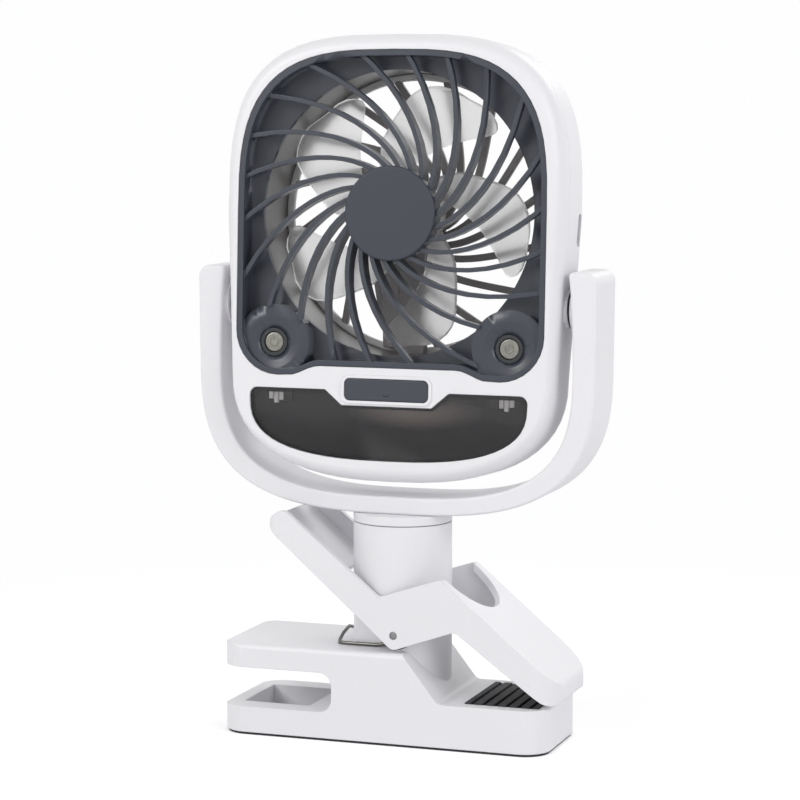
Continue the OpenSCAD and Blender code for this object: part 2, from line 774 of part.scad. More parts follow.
rib_steps = 12;
rib_end_r = 100;
rib_deep = 8;
rib_shallow = 3.4;
hub_ring_t = 2;
boss_front = face_y + 3;
button_recess_r = 6.3;
button_recess_y = face_y + 8.5;
dish_r = 12;
dish_depth = 1.2;
button_stem_r = 2;
button_places = [[button_x, -button_drop], [-button_x, -button_drop]];

function rib_edge(side) = [
    for (i = [0:rib_steps])
        let (r = (hub_r - 2) * pow(rib_end_r / (hub_r - 2), i / rib_steps))
        let (a = tan(rib_swirl) * ln(r / hub_r) * 180 / PI)
        [r * cos(a), r * sin(a)] + side * rib_w / 2 * [-sin(a + rib_swirl), cos(a + rib_swirl)]
];

module front_grille() color(slate) in_head() difference() {
    union() {
        // Rim and floor
        difference() {
            along_y(grille_front, floor_back) polygon(grille_outline(0));
            along_y(grille_front - cut, floor_y) polygon(grille_outline(rim_w));
            rod_y(0, fan_z, duct_r, floor_y - cut, floor_back + cut);
        }
        // Ribs, deep beside the hub and shallow at the rim
        intersection() {
            along_y(rib_front, floor_y) difference() {
                translate([0, fan_z]) for (k = [0:rib_count - 1])
                    rotate(360 * k / rib_count) polygon(concat(rib_edge(-1), flip(rib_edge(1))));
                for (p = button_places) translate(p) circle(boss_r - 1);
            }
            along_y(rib_front - cut, floor_y + cut) polygon(grille_outline(rim_w / 2));
            revolve_fan([
                [hub_r - 1.2, rib_front - cut],
                [rib_end_r, rib_front - cut],
                [rib_end_r, rib_front + rib_shallow],
                [duct_r, rib_front + rib_shallow],
                [hub_r + 10, rib_front + rib_deep - 1],
                [hub_r - 1.2, rib_front + rib_deep],
            ]);
        }
        // Hub ring with a closed front
        revolve_fan([
            [0, rib_front], [hub_r - 0.4, rib_front], [hub_r - 0.4, rib_front + rib_deep],
            [hub_r - 0.4 - hub_ring_t, rib_front + rib_deep], [hub_r - 0.4 - hub_ring_t, rib_front + hub_ring_t],
            [0, rib_front + hub_ring_t],
        ]);
        // Bosses round the buttons
        intersection() {
            along_y(boss_front, floor_back) polygon(grille_outline(rim_w / 2));
            for (p = button_places) rod_y(p.x, p.y, boss_r, boss_front, floor_back);
        }
        for (p = screw_places) rod_y(p.x, p.y, screw_post_r, floor_back - cut, screw_post_y);
    }
    for (p = button_places) {
        translate([p.x, boss_front + dish_depth, p.y]) rotate([90, 0, 0])
            cylinder(r1 = button_recess_r, r2 = dish_r + (dish_r - button_recess_r) * cut / dish_depth, h = dish_depth + cut);
        rod_y(p.x, p.y, button_recess_r, boss_front - cut, button_recess_y);
        rod_y(p.x, p.y, button_stem_r + run_gap, button_recess_y - cut, floor_back + cut);
    }
    for (p = screw_places) rod_y(p.x, p.y, housing_screw_r, floor_back, screw_post_y + cut);
}

module hub_disc() color(slate) in_head() revolve_fan([
    [0, rib_front - 2], [hub_r - 0.8, rib_front - 2], [hub_r - 0.2, rib_front - 1.8], [hub_r, rib_front - 1.2],
    [hub_r, rib_front], [0, rib_front],
]);

module duct_ring() color(white) in_head() revolve_fan([
    [duct_r, floor_back + seat_gap], [duct_r + duct_wall, floor_back + seat_gap],
    [duct_r + duct_wall, back_in - seat_gap], [duct_r, back_in - seat_gap],
]);

// Rear grille, with thin ribs that swirl the other way

rear_front = back_in - 0.6;
rear_back = back_y - 0.4;
rear_ring_t = 3;
rear_lip_t = 0.6;
rear_hub_r = motor_r + 3;
rear_rib_count = 24;
rear_rib_w = 1.5;
rear_swirl = -30;
function rear_edge(side) = [
    for (i = [0:6])
        let (r = (rear_hub_r - 1) * pow((vent_r - 1) / (rear_hub_r - 1), i / 6))
        let (a = tan(rear_swirl) * ln(r / rear_hub_r) * 180 / PI)
        [r * cos(a), r * sin(a)] + side * rear_rib_w / 2 * [-sin(a + rear_swirl), cos(a + rear_swirl)]
];

module rear_grille() color(slate) in_head() {
    difference() {
        union() {
            rod_y(0, fan_z, vent_r - seat_gap, rear_front, rear_back);
            rod_y(0, fan_z, duct_r - seat_gap, rear_front - rear_lip_t, back_in - seat_gap);
        }
        rod_y(0, fan_z, vent_r - rear_ring_t, rear_front - cut, rear_back + cut);
    }
    rod_y(0, fan_z, rear_hub_r, rear_front, rear_back);
    along_y(rear_front + 0.2, rear_back - 0.2) translate([0, fan_z]) for (k = [0:rear_rib_count - 1])
        rotate(360 * k / rear_rib_count) polygon(concat(rear_edge(-1), flip(rear_edge(1))));
}

// Motor, its mount and the fan

rotor_front = floor_back;
rotor_back = rotor_front + 15.5;
rotor_wall = 2;
motor_front = rotor_front + 3.2;
motor_back = motor_front + 17;
mount_wall = 2;
mount_grip = 4;
strut_w = 12;

module motor_mount() color(slate) in_head() difference() {
    union() {
        rod_y(0, fan_z, motor_r + mount_wall, motor_back - mount_grip, rear_front - seat_gap);
        block([-strut_w / 2, motor_back + seat_gap, fan_z - duct_r + run_gap],
            [strut_w / 2, rear_front - rear_lip_t - seat_gap, fan_z]);
    }
    rod_y(0, fan_z, motor_r, motor_back - mount_grip - cut, motor_back);
}

module motor_can() color(steel) in_head() difference() {
    rod_y(0, fan_z, motor_r - shaft_gap, motor_front, motor_back - shaft_gap);
    rod_y(0, fan_z, motor_r - 1.5, motor_front + 1.5, motor_back - 1.5);
    rod_y(0, fan_z, shaft_r + shaft_gap, motor_front - cut, motor_front + 2);
}

module motor_shaft() color(steel) in_head() rod_y(0, fan_z, shaft_r, rotor_front + 1, motor_back - 3);

module motor_armature() color(copper) in_head() difference() {
    rod_y(0, fan_z, motor_r - 3, motor_front + 3, motor_back - 4);
    rod_y(0, fan_z, shaft_r, motor_front, motor_back);
}

blade_rows = 9;
blade_t = 1.4;
blade_root_r = rotor_r - 1.2;
blade_mid_y = (rotor_front + rotor_back) / 2;
function blade_ring(f) =
    let (r = blade_root_r + (blade_tip_r - blade_root_r) * f)
    let (tip = sqrt(max(1 - pow(f, 5), 0.004)))
    let (half_a = (15 + 9 * sin(130 * f)) * tip)
    let (skew = 9 * f - 3)
    let (pitch = 0.5 - 0.16 * f)
    [
        for (k = [0:11])
            let (c = sign_pow(cos(30 * k), 0.8), s = sin(30 * k))
            let (a = skew + half_a * c)
            [
                r * cos(a),
                blade_mid_y - pitch * r * half_a * c * PI / 180 + s * blade_t / 2 - 1.6 * f * c * c,
                r * sin(a)
            ]
    ];

module fan_rotor() color(blade_grey) in_head() {
    difference() {
        revolve_fan([
            [0, rotor_front], [rotor_r - 2, rotor_front], [rotor_r - 0.6, rotor_front + 0.6],
            [rotor_r, rotor_front + 2], [rotor_r, rotor_back], [rotor_r - rotor_wall, rotor_back],
            [rotor_r - rotor_wall, rotor_front + rotor_wall], [0, rotor_front + rotor_wall],
        ]);
        rod_y(0, fan_z, shaft_r, rotor_front + 0.6, rotor_back);
    }
    translate([0, 0, fan_z]) for (k = [0:blade_count - 1])
        rotate([0, -(90 - blade_phase - 360 * k / blade_count), 0])
            loft([for (i = [0:blade_rows]) blade_ring(i / blade_rows)]);
}

// Buttons and key

button_front = face_y + 4.1;
button_t = 3.2;
board_y = floor_back + 2.2;
board_t = 1.5;
switch_t = board_y - floor_back - run_gap;
switch_front = board_y - switch_t;
stem_end = switch_front - button_travel - seat_gap;

module round_button(p) color(beige_metal) in_head() {
    translate([p.x, 0, p.y]) rotate([90, 0, 0]) rotate_extrude() polygon([
        [0, -button_front - button_t], [button_r, -button_front - button_t], [button_r, -button_front - 0.5],
        [button_r - 0.4, -button_front], [0, -button_front]
    ]);
    rod_y(p.x, p.y, button_stem_r, button_front + button_t - 0.5, stem_end);
}
module fan_button() round_button(button_places[1]);
module light_button() round_button(button_places[0]);

module button_rings() color(slate) in_head() for (p = button_places) difference() {
    rod_y(p.x, p.y, button_recess_r - shaft_gap, button_front - 0.3, button_recess_y - shaft_gap);
    rod_y(p.x, p.y, button_r + fit_gap, button_front - cut, button_recess_y + cut);
}

key_front = face_y - 0.1;
key_flange_y = face_y + wall + seat_gap;
module mode_key() color(slate) in_head() {
    along_y(key_front, key_flange_y + 0.2) polygon(key_corners(0, 2.4));
    along_y(key_flange_y, key_flange_y + 1.2) polygon(key_corners(0.7, 2.4));
    rod_y(0, key_z, button_stem_r, key_flange_y + 1, stem_end);
}

// Boards, switches, battery and charging socket inside the head

board_half_w = grille_half - 6;
board_low = -46;
board_high = -8;
module control_board() color(board_green) in_head() difference() {
    block([-board_half_w, board_y, board_low], [board_half_w, board_y + board_t, board_high]);
    rod_y(0, fan_z, duct_r + duct_wall + cut, board_y - cut, board_y + board_t + cut);
    for (p = screw_places) rod_y(p.x, p.y, screw_post_r + 0.4, board_y - cut, board_y + board_t + cut);
}

module tact_switches() color(rubber) in_head() for (p = concat(button_places, [[0, key_z]]))
    block([p.x - 3, switch_front, p.y - 3], [p.x + 3, board_y - shaft_gap, p.y + 3]);

charge_board_x = duct_r + duct_wall + 0.2;
charge_board_t = 1.5;
module charge_board() color(board_green) in_head() block(
    [charge_board_x, charge_y - 8, charge_z - 11],
    [charge_board_x + charge_board_t, charge_y + 8, charge_z + 12]
);

socket_w = 3.2;
socket_h = 9;
module charge_socket() color(steel) in_head() difference() {
    translate([charge_board_x + charge_board_t + shaft_gap, charge_y, charge_z]) rotate([0, 90, 0])
        linear_extrude(charge_x - 1.6 - charge_board_x - charge_board_t) socket_plan(0);
    translate([charge_x - 7, charge_y, charge_z]) rotate([0, 90, 0]) linear_extrude(7) socket_plan(0.4);
}
module socket_plan(inset) {
    for (s = [-1, 1]) translate([s * (socket_h - socket_w) / 2, 0]) circle(socket_w / 2 - inset);
    square([socket_h - socket_w, socket_w - 2 * inset], center = true);
}

cell_r = 9.2;
cell_l = 65;
cell_y = back_in - cell_r - 1.8;
cell_low = -62;
cell_places = [cell_low, cell_low + 2 * cell_r + 2 * run_gap];
module battery_cells() color(cell_blue) in_head() for (z = cell_places) {
    rod_x(cell_y, z, cell_r, -cell_l / 2, cell_l / 2 - 1.5);
    rod_x(cell_y, z, 3, cell_l / 2 - 2, cell_l / 2);
}

module battery_holder() color(rubber) in_head() difference() {
    block([-cell_l / 2 - 3, cell_y - 3, cell_places[0] + 2], [cell_l / 2 + 3, back_in - seat_gap, cell_places[1] + 7]);
    for (z = cell_places) rod_x(cell_y, z, cell_r + seat_gap / 2, -cell_l / 2 - 0.2, cell_l / 2 + 0.2);
}

// Lamp behind the smoked window

lens_front = face_y + 0.8;
lens_flange_y = face_y + wall + seat_gap;
lens_flange_t = 1.2;
reflector_front = lens_flange_y + lens_flange_t + seat_gap / 2;
reflector_back = board_y - 2.4;
reflector_wall = 1;
led_size = 3.2;
led_rise = 1.4;
led_z = -60;
led_pitch = 84 / led_count;
lamp_board_t = 1.2;
function led_x(k) = led_pitch * (k - (led_count - 1) / 2);

module lamp_lens() color(smoke, 0.6) in_head() {
    along_y(lens_front, lens_flange_y + 0.2) polygon(lamp_outline(fit_gap));
    along_y(lens_flange_y, lens_flange_y + lens_flange_t) polygon(lamp_outline(-0.5));
}

module lamp_reflector() color(nylon) in_head() difference() {
    loft_cup(
        [ring_at(lamp_outline(0), reflector_front), ring_at(lamp_outline(5), reflector_back)],
        [
            ring_at(lamp_outline(reflector_wall), reflector_front),
            ring_at(lamp_outline(5 + reflector_wall), reflector_back - reflector_wall)
        ]
    );
    for (k = [0:led_count - 1]) block(
        [led_x(k) - led_size / 2 - 0.3, reflector_back - 2, led_z - led_size / 2 - 0.3],
        [led_x(k) + led_size / 2 + 0.3, reflector_back + cut, led_z + led_size / 2 + 0.3]
    );
    both_sides() lens_clip(seat_gap);
}

module lamp_board() color(board_green) in_head() block(
    [-46, reflector_back + shaft_gap, led_z - 4],
    [46, reflector_back + shaft_gap + lamp_board_t, led_z + 4]
);

module lamp_leds() color(beige_metal) in_head() for (k = [0:led_count - 1]) block(
    [led_x(k) - led_size / 2, reflector_back + shaft_gap - led_rise, led_z - led_size / 2],
    [led_x(k) + led_size / 2, reflector_back + shaft_gap, led_z + led_size / 2]
);

clip_side = lamp_half - 10.2;
clip_w = 6;
clip_d = 3.7;
clip_h = 4.2;
clip_top = lamp_top - 1.2;
module lens_clip(margin) block(
    [clip_side - clip_w - margin, reflector_front + run_gap - margin, clip_top - clip_h - margin],
    [clip_side + margin, reflector_front + run_gap + clip_d + margin, clip_top + margin]
);
module lens_clips() color(nylon) in_head() both_sides() lens_clip(0);

// Yoke: a band swept round the head, with flat seats for the collar and the tilt axles

yoke_in_a = head_w / 2 + side_gap;
yoke_out_a = yoke_in_a + arm_t;
yoke_mid_z = tilt_z - 23;
yoke_in_b = yoke_mid_z - yoke_z - band_t;
yoke_out_b = yoke_mid_z - yoke_z;
yoke_steps = 24;
arm_steps = 5;
arm_top = tilt_z + arm_rise;
arm_round = 4;
arm_lean_in = yoke_in_a - yoke_pad_x - 0.4;
yoke_ring_sides = 16;

// Outer and inner points of the band's stations, from the left arm's foot to the right arm's
yoke_stations = [
    for (i = [0:yoke_steps])
        let (t = 180 + 180 * i / yoke_steps)
        [
            [yoke_out_a * sign_pow(cos(t), 2 / 3), yoke_mid_z + yoke_out_b * sign_pow(sin(t), 2 / 3)],
            [yoke_in_a * sign_pow(cos(t), 2 / 3.1), yoke_mid_z + yoke_in_b * sign_pow(sin(t), 2 / 3.1)]
        ]
];
// Stations up the right arm, drawn in at the inside, and the rounding of its top
function arm_station(f) =
    let (z = yoke_mid_z + (arm_top - arm_round - yoke_mid_z) * f)
    [[yoke_out_a + 0.4 * f, z], [yoke_in_a - arm_lean_in * f * f, z]];
arm_stations = [for (i = [1:arm_steps]) arm_station(i / arm_steps)];
function yoke_ring(station, shrink, lift) =
    let (mid = (station[0] + station[1]) / 2, half = (station[0] - station[1]) / 2)
    let (scale_t = (norm(half) - shrink) / norm(half))
    [
        for (k = [0:yoke_ring_sides - 1])
            let (t = 360 * k / yoke_ring_sides)
            let (u = sign_pow(sin(t), 0.45) * scale_t, v = sign_pow(cos(t), 0.45))
            [mid.x + u * half.x, v * (yoke_d / 2 - shrink), mid.y + u * half.y + lift]
    ];
arm_rings = concat(
    [for (s = arm_stations) yoke_ring(s, 0, 0)],
    [for (t = [30:30:90]) yoke_ring(arm_station(1), arm_round * (1 - cos(t)) * 0.95, arm_round * sin(t))]
);
function mirror_ring(ring) = [
    for (k = [0:yoke_ring_sides - 1]) let (p = ring[k]) [-p.x, p.y, p.z]
];

yoke_seat_r = 12;
yoke_seat_t = 3;
yoke_axle_end = yoke_pad_x + 8;

module yoke() color(white) difference() {
    union() {
        loft(concat(
            flip([for (ring = arm_rings) mirror_ring(ring)]),
            [for (s = yoke_stations) yoke_ring(s, 0, 0)],
            arm_rings
        ));
        translate([0, 0, yoke_z]) cylinder(r = yoke_seat_r, h = yoke_seat_t);
        both_sides() rod_x(0, tilt_z, yoke_seat_r - 1, yoke_pad_x, yoke_in_a + 3);
    }
    translate([0, 0, yoke_z - cut]) cylinder(r = swivel_screw_r, h = swivel_screw_top - yoke_z + cut);
    both_sides() rod_x(0, tilt_z, axle_r, yoke_pad_x - cut, yoke_axle_end);
}

// Swivel: collar with a spigot, held down by a washer and a screw inside the neck
swivel_screw_r = 2;
swivel_head_r = 4;
swivel_screw_top = yoke_z + 6;
spigot_end = hollow_top - run_gap;
swivel_washer_t = 1.4;
swivel_head_t = 2.6;

module swivel_collar() color(white) difference() {
    union() {
        translate([0, 0, collar_z]) cylinder(r = neck_r, h = collar_t, $fn = 96);
        translate([0, 0, spigot_end]) cylinder(r = spigot_r, h = collar_z - spigot_end + cut);
    }
    translate([0, 0, spigot_end - cut]) cylinder(r = swivel_screw_r + shaft_gap, h = swivel_screw_top);
}

module swivel_washer() color(steel) translate([0, 0, spigot_end - swivel_washer_t]) difference() {
    cylinder(r = hollow_r - run_gap * 2, h = swivel_washer_t);
    translate([0, 0, -cut]) cylinder(r = swivel_screw_r + shaft_gap, h = swivel_washer_t + 2 * cut);
}

module swivel_screw() color(steel) difference() {
    union() {
        translate([0, 0, spigot_end - swivel_washer_t - swivel_head_t]) cylinder(r = swivel_head_r, h = swivel_head_t);
        translate([0, 0, spigot_end - swivel_washer_t - cut])
            cylinder(r = swivel_screw_r, h = swivel_screw_top - spigot_end + swivel_washer_t);
    }
    translate([0, 0, spigot_end - swivel_washer_t - swivel_head_t]) cross_slot(2.6, 1.2);
}

module tilt_axles() color(steel) both_sides() rod_x(0, tilt_z, axle_r, tilt_boss_in + 1, yoke_axle_end - 0.2);

module friction_washers() color(rubber) both_sides() difference() {
    rod_x(0, tilt_z, tilt_boss_r - 0.5, tilt_boss_x + seat_gap, tilt_boss_x + seat_gap + washer_t);
    rod_x(0, tilt_z, axle_r + shaft_gap, tilt_boss_x, tilt_boss_x + washer_t + cut);
}

base_body();
base_sole();
sole_screws();
lower_jaw_pad();
lever_pin();
clip_spring();
swivel_bush();
lever();
upper_jaw_pad();
yoke();
swivel_collar();
swivel_washer();
swivel_screw();
tilt_axles();
friction_washers();
front_bezel();
rear_shell();
tilt_bushes();
housing_screws();
front_grille();
hub_disc();
duct_ring();
rear_grille();
motor_mount();
motor_can();
button_rings();
control_board();
tact_switches();
charge_board();
charge_socket();
battery_cells();
battery_holder();
lamp_lens();
lens_clips();
lamp_reflector();
lamp_board();
lamp_leds();
fan_rotor();
motor_shaft();
motor_armature();
fan_button();
light_button();
mode_key();
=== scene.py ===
import math

import bmesh
import bpy
from mathutils import Matrix, Vector


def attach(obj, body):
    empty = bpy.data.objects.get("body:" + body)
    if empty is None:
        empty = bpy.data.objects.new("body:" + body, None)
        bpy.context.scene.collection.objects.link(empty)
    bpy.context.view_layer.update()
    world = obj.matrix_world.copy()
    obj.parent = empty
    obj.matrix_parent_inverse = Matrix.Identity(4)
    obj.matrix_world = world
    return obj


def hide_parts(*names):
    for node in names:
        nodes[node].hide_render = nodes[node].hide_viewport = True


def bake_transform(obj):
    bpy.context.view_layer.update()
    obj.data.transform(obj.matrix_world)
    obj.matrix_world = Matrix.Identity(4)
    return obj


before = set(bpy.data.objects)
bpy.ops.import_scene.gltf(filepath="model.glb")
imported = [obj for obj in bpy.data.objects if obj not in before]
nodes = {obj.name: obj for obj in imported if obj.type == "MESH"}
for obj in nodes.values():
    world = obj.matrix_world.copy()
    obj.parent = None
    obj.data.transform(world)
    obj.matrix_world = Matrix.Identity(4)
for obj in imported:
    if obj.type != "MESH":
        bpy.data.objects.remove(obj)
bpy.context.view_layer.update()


# The camera stands where the photograph was taken from: to the right of the fan's middle,
# slightly above it, with a long lens. The picture is 800 by 800.
eye_turn = math.radians(19.4)
eye_rise = math.radians(6.36)
eye_distance = 1.2
looked_at = Vector((-0.0014, 0, 0.1521))
line_of_sight = Vector((
    -math.sin(eye_turn) * math.cos(eye_rise),
    math.cos(eye_turn) * math.cos(eye_rise),
    -math.sin(eye_rise),
))
photo_lens = bpy.data.cameras.new("photo_lens")
photo_lens.lens = 120
photo_lens.sensor_width = 36
photo_camera = bpy.data.objects.new("photo_camera", photo_lens)
photo_camera.location = looked_at - eye_distance * line_of_sight
photo_camera.rotation_euler = line_of_sight.to_track_quat("-Z", "Y").to_euler()
bpy.context.scene.collection.objects.link(photo_camera)
bpy.context.scene.camera = photo_camera


# Node trees: the steps that all finishes below are built from. An input takes a value, or a link
# where it is given an output of another node. An underscore in its name stands for a space.
def feed(tree, place, source):
    if isinstance(source, bpy.types.NodeSocket):
        tree.links.new(source, place)
    else:
        place.default_value = source


def feed_inputs(tree, node, **named):
    for name, source in named.items():
        feed(tree, node.inputs[name.replace("_", " ")], source)


def add_node(tree, kind, *fed, **named):
    """Adds a shader node: names in small letters set the node, and all else feeds its inputs."""
    node = tree.nodes.new("ShaderNode" + kind)
    for name, setting in named.items():
        if name.islower():
            setattr(node, name, setting)
    for place, source in zip(node.inputs, fed):
        feed(tree, place, source)
    feed_inputs(tree, node, **{name: source for name, source in named.items() if not name.islower()})
    return node


def object_place(tree):
    return add_node(tree, "TexCoord").outputs["Object"]


def noise(tree, place, **named):
    return add_node(tree, "TexNoise", Vector=place, **named).outputs["Fac"]


def maths(tree, operation, *fed):
    return add_node(tree, "Math", *fed, operation=operation).outputs[0]


def mapped(tree, value, **named):
    return add_node(tree, "MapRange", Value=value, **named).outputs["Result"]


def colour_mix(tree, factor, one, other):
    return add_node(tree, "Mix", data_type="RGBA", Factor=factor, A=one, B=other).outputs["Result"]


def bump(tree, height, strength, distance, **named):
    return add_node(
        tree, "Bump", Height=height, Strength=strength, Distance=distance, **named
    ).outputs["Normal"]


def distance_about(tree, place, centre, **named):
    """Distance from a line through a point, where the line runs along the mapping's y."""
    about = add_node(tree, "Mapping", vector_type="TEXTURE", Vector=place, Location=centre, **named)
    flat = add_node(tree, "VectorMath", about.outputs["Vector"], (1, 0, 1), operation="MULTIPLY")
    reach = add_node(tree, "VectorMath", flat.outputs["Vector"], operation="LENGTH")
    return reach.outputs["Value"]


def finish_of(name):
    """A new material with its node tree and its shader."""
    material = bpy.data.materials.new(name)
    material.use_nodes = True
    tree = material.node_tree
    return material, tree, tree.nodes["Principled BSDF"]


# The studio is a pale floor under an even surround, with a broad soft lamp high on the left, a
# weaker one on the right and one behind. The surround is white where the camera, a gloss or a
# clear part shows it, and dimmer where it lights the fan.
studio_white = (0.99, 0.99, 0.993, 1)
surround_light = 0.56
floor_size = 6
floor_glow = 0.3
floor_fades_from = 0.16
floor_fades_to = 0.5
bpy.context.scene.view_settings.view_transform = "Standard"

surround = bpy.data.worlds.new("studio_surround")
surround.use_nodes = True
bpy.context.scene.world = surround
sky = surround.node_tree
ray = add_node(sky, "LightPath").outputs
seen_through = maths(sky, "MAXIMUM", ray["Is Camera Ray"], ray["Is Transmission Ray"])
seen_at_all = maths(sky, "MAXIMUM", seen_through, ray["Is Glossy Ray"])
sky_strength = mapped(sky, seen_at_all, To_Min=surround_light, To_Max=1.0)
feed_inputs(sky, sky.nodes["Background"], Color=studio_white, Strength=sky_strength)

floor_mesh = bpy.data.meshes.new("floor")
sheet = bmesh.new()
bmesh.ops.create_grid(sheet, x_segments=1, y_segments=1, size=floor_size)
sheet.to_mesh(floor_mesh)
sheet.free()
floor = bpy.data.objects.new("floor", floor_mesh)
bpy.context.scene.collection.objects.link(floor)

floor_paint, paint, paint_shader = finish_of("floor_paint")
floor_seen = add_node(paint, "LightPath").outputs["Is Camera Ray"]
feed_inputs(
    paint, paint_shader, Base_Color=(0.86, 0.86, 0.865, 1), Roughness=0.9, Specular_IOR_Level=0.08,
    Emission_Color=(1, 1, 1, 1), Emission_Strength=maths(paint, "MULTIPLY", floor_seen, floor_glow),
)
floor_reach = add_node(paint, "VectorMath", object_place(paint), operation="LENGTH").outputs["Value"]
floor_edge = mapped(
    paint, floor_reach, interpolation_type="SMOOTHSTEP", From_Min=floor_fades_from, From_Max=floor_fades_to
)
floor_fade = maths(paint, "MULTIPLY", floor_edge, floor_seen)
floor_white = add_node(paint, "Emission", Color=studio_white).outputs["Emission"]
floor_mix = add_node(paint, "MixShader", floor_fade, paint_shader.outputs["BSDF"], floor_white)
feed_inputs(paint, paint.nodes["Material Output"], Surface=floor_mix.outputs["Shader"])
floor_mesh.materials.append(floor_paint)


def studio_lamp(name, place, aim, size, power, colour):
    lamp = bpy.data.lights.new(name, "AREA")
    lamp.shape = "DISK"
    lamp.size = size
    lamp.energy = power
    lamp.color = colour
    stand = bpy.data.objects.new(name, lamp)
    stand.location = place
    stand.rotation_euler = (Vector(aim) - Vector(place)).to_track_quat("-Z", "Y").to_euler()
    bpy.context.scene.collection.objects.link(stand)


studio_lamp("key_lamp", (-1.15, -1.5, 1.15), (0, 0, 0.15), 0.9, 16, (1, 0.99, 0.98))
studio_lamp("fill_lamp", (1.5, -0.7, 0.8), (0, 0, 0.15), 1.1, 10, (0.98, 0.98, 1))
studio_lamp("back_lamp", (0.4, 1.3, 1.1), (0, 0, 0.2), 0.8, 5.5, (1, 1, 1))


# Plastic and metal finishes. Plastics share two groups: the skin of a moulding and a mask along its edges,
# which carries worn edges and, on the fan blades, a painted dark outline of shade. Metals have fine lines
# along one axis.
def group_socket(group, name, way, kind, value=None):
    made = group.interface.new_socket(name=name, in_out=way, socket_type="NodeSocket" + kind)
    if value is not None:
        made.default_value = value


def moulded_skin_group():
    """Colour drift, satin blotches and spark-eroded grain of a moulded plastic part."""
    group = bpy.data.node_groups.new("moulded_skin", "ShaderNodeTree")
    group_socket(group, "Colour", "INPUT", "Color", (0.8, 0.8, 0.8, 1))
    group_socket(group, "Drift", "INPUT", "Float", 0.05)
    group_socket(group, "Roughness", "INPUT", "Float", 0.45)
    group_socket(group, "Blotch", "INPUT", "Float", 0.08)
    group_socket(group, "Grain Scale", "INPUT", "Float", 2600.0)
    group_socket(group, "Colour", "OUTPUT", "Color")
    group_socket(group, "Roughness", "OUTPUT", "Float")
    group_socket(group, "Height", "OUTPUT", "Float")
    given = group.nodes.new("NodeGroupInput").outputs
    result = group.nodes.new("NodeGroupOutput")
    place = object_place(group)
    # Slow colour drift, as resin flows and cools unevenly
    flow = maths(group, "SUBTRACT", noise(group, place, Scale=22, Detail=3), 0.5)
    swing = maths(group, "MULTIPLY_ADD", flow, given["Drift"], 1.0)
    tone = add_node(group, "HueSaturation", Color=given["Colour"], Value=swing).outputs["Color"]
    # Blotches in the satin
    patch = maths(group, "SUBTRACT", noise(group, place, Scale=90, Detail=5, Roughness=0.65), 0.5)
    gloss = maths(group, "MULTIPLY_ADD", patch, given["Blotch"], given["Roughness"])
    # Fine grain of the mould
    grain = noise(group, place, Scale=given["Grain Scale"], Detail=2)
    feed_inputs(group, result, Colour=tone, Roughness=gloss, Height=grain)
    return group


def edge_mask_group():
    """A mask along outer edges, where handling polishes and lightens a moulding, and where the fan blades
    get a painted dark outline of shade.
    """
    group = bpy.data.node_groups.new("wear_and_shade_edges", "ShaderNodeTree")
    group_socket(group, "Radius", "INPUT", "Float", 0.0006)
    group_socket(group, "Mask", "OUTPUT", "Float")
    group_socket(group, "Normal", "OUTPUT", "Vector")
    given = group.nodes.new("NodeGroupInput").outputs
    result = group.nodes.new("NodeGroupOutput")
    rounded = add_node(group, "Bevel", samples=4, Radius=given["Radius"]).outputs["Normal"]
    surface = add_node(group, "NewGeometry").outputs["Normal"]
    agree = add_node(group, "VectorMath", rounded, surface, operation="DOT_PRODUCT").outputs["Value"]
    mask = mapped(group, agree, From_Min=0.995, From_Max=0.85)
    broken = noise(group, object_place(group), Scale=160, Detail=4)
    feed_inputs(group, result, Mask=maths(group, "MULTIPLY", mask, broken), Normal=rounded)
    return group


moulded_skin = moulded_skin_group()
wear_and_shade_edges = edge_mask_group()


def moulded_plastic(
    name, colour, rough, drift=0.05, blotch=0.08, grain=2600.0, depth=0.00002, wear_and_shade_colour=None, edge=0.0005, **more
):
    """A moulded thermoplastic: skin, soft edges and, where it is handled, slightly worn edges; on the fan
    blades the edge colour is painted shade.
    """
    material, tree, shader = finish_of(name)
    skin = add_node(
        tree, "Group", node_tree=moulded_skin,
        Colour=(*colour, 1), Drift=drift, Roughness=rough, Blotch=blotch, Grain_Scale=grain,
    ).outputs
    rim = add_node(tree, "Group", node_tree=wear_and_shade_edges, Radius=edge).outputs
    feed_inputs(
        # The edge colour is wear on most plastics and a painted dark outline of shade on the fan blades.
        tree, shader, Base_Color=colour_mix(tree, rim["Mask"], skin["Colour"], (*(wear_and_shade_colour or colour), 1)),
        Roughness=skin["Roughness"], Normal=bump(tree, skin["Height"], 0.5, depth, Normal=rim["Normal"]),
        **more,
    )
    return material


def metal(name, colour, rough, line_scale, line_stretch=(1, 1, 1)):
    """A plated or drawn metal with fine lines along one axis."""
    material, tree, shader = finish_of(name)
    place = object_place(tree)
    along = add_node(tree, "Mapping", Vector=place, Scale=line_stretch).outputs["Vector"]
    lines = noise(tree, along, Scale=line_scale, Detail=6)
    darker = (*[0.86 * c for c in colour], 1)
    lighter = (*[min(1.12 * c, 1) for c in colour], 1)
    feed_inputs(
        tree, shader, Metallic=1.0, Normal=bump(tree, lines, 0.4, 0.00001),
        Base_Color=colour_mix(tree, noise(tree, place, Scale=300), darker, lighter),
        Roughness=mapped(tree, lines, To_Min=rough - 0.1, To_Max=rough + 0.14),
    )
    return material


# Shapes: the steps that the pieces below are made with. A piece is a copy of a CAD node or a
# shape of its own, and either has smooth curves, soft edges and even normals. Angles are degrees.
weld_reach = 2e-6


def dress(piece, material):
    piece.data.materials.clear()
    piece.data.materials.append(material)


def dress_node(name, material):
    """Gives a CAD node a finish without touching its mesh."""
    shown = nodes[name]
    if not shown.material_slots:
        shown.data.materials.append(material)
    for place in shown.material_slots:
        place.material = material


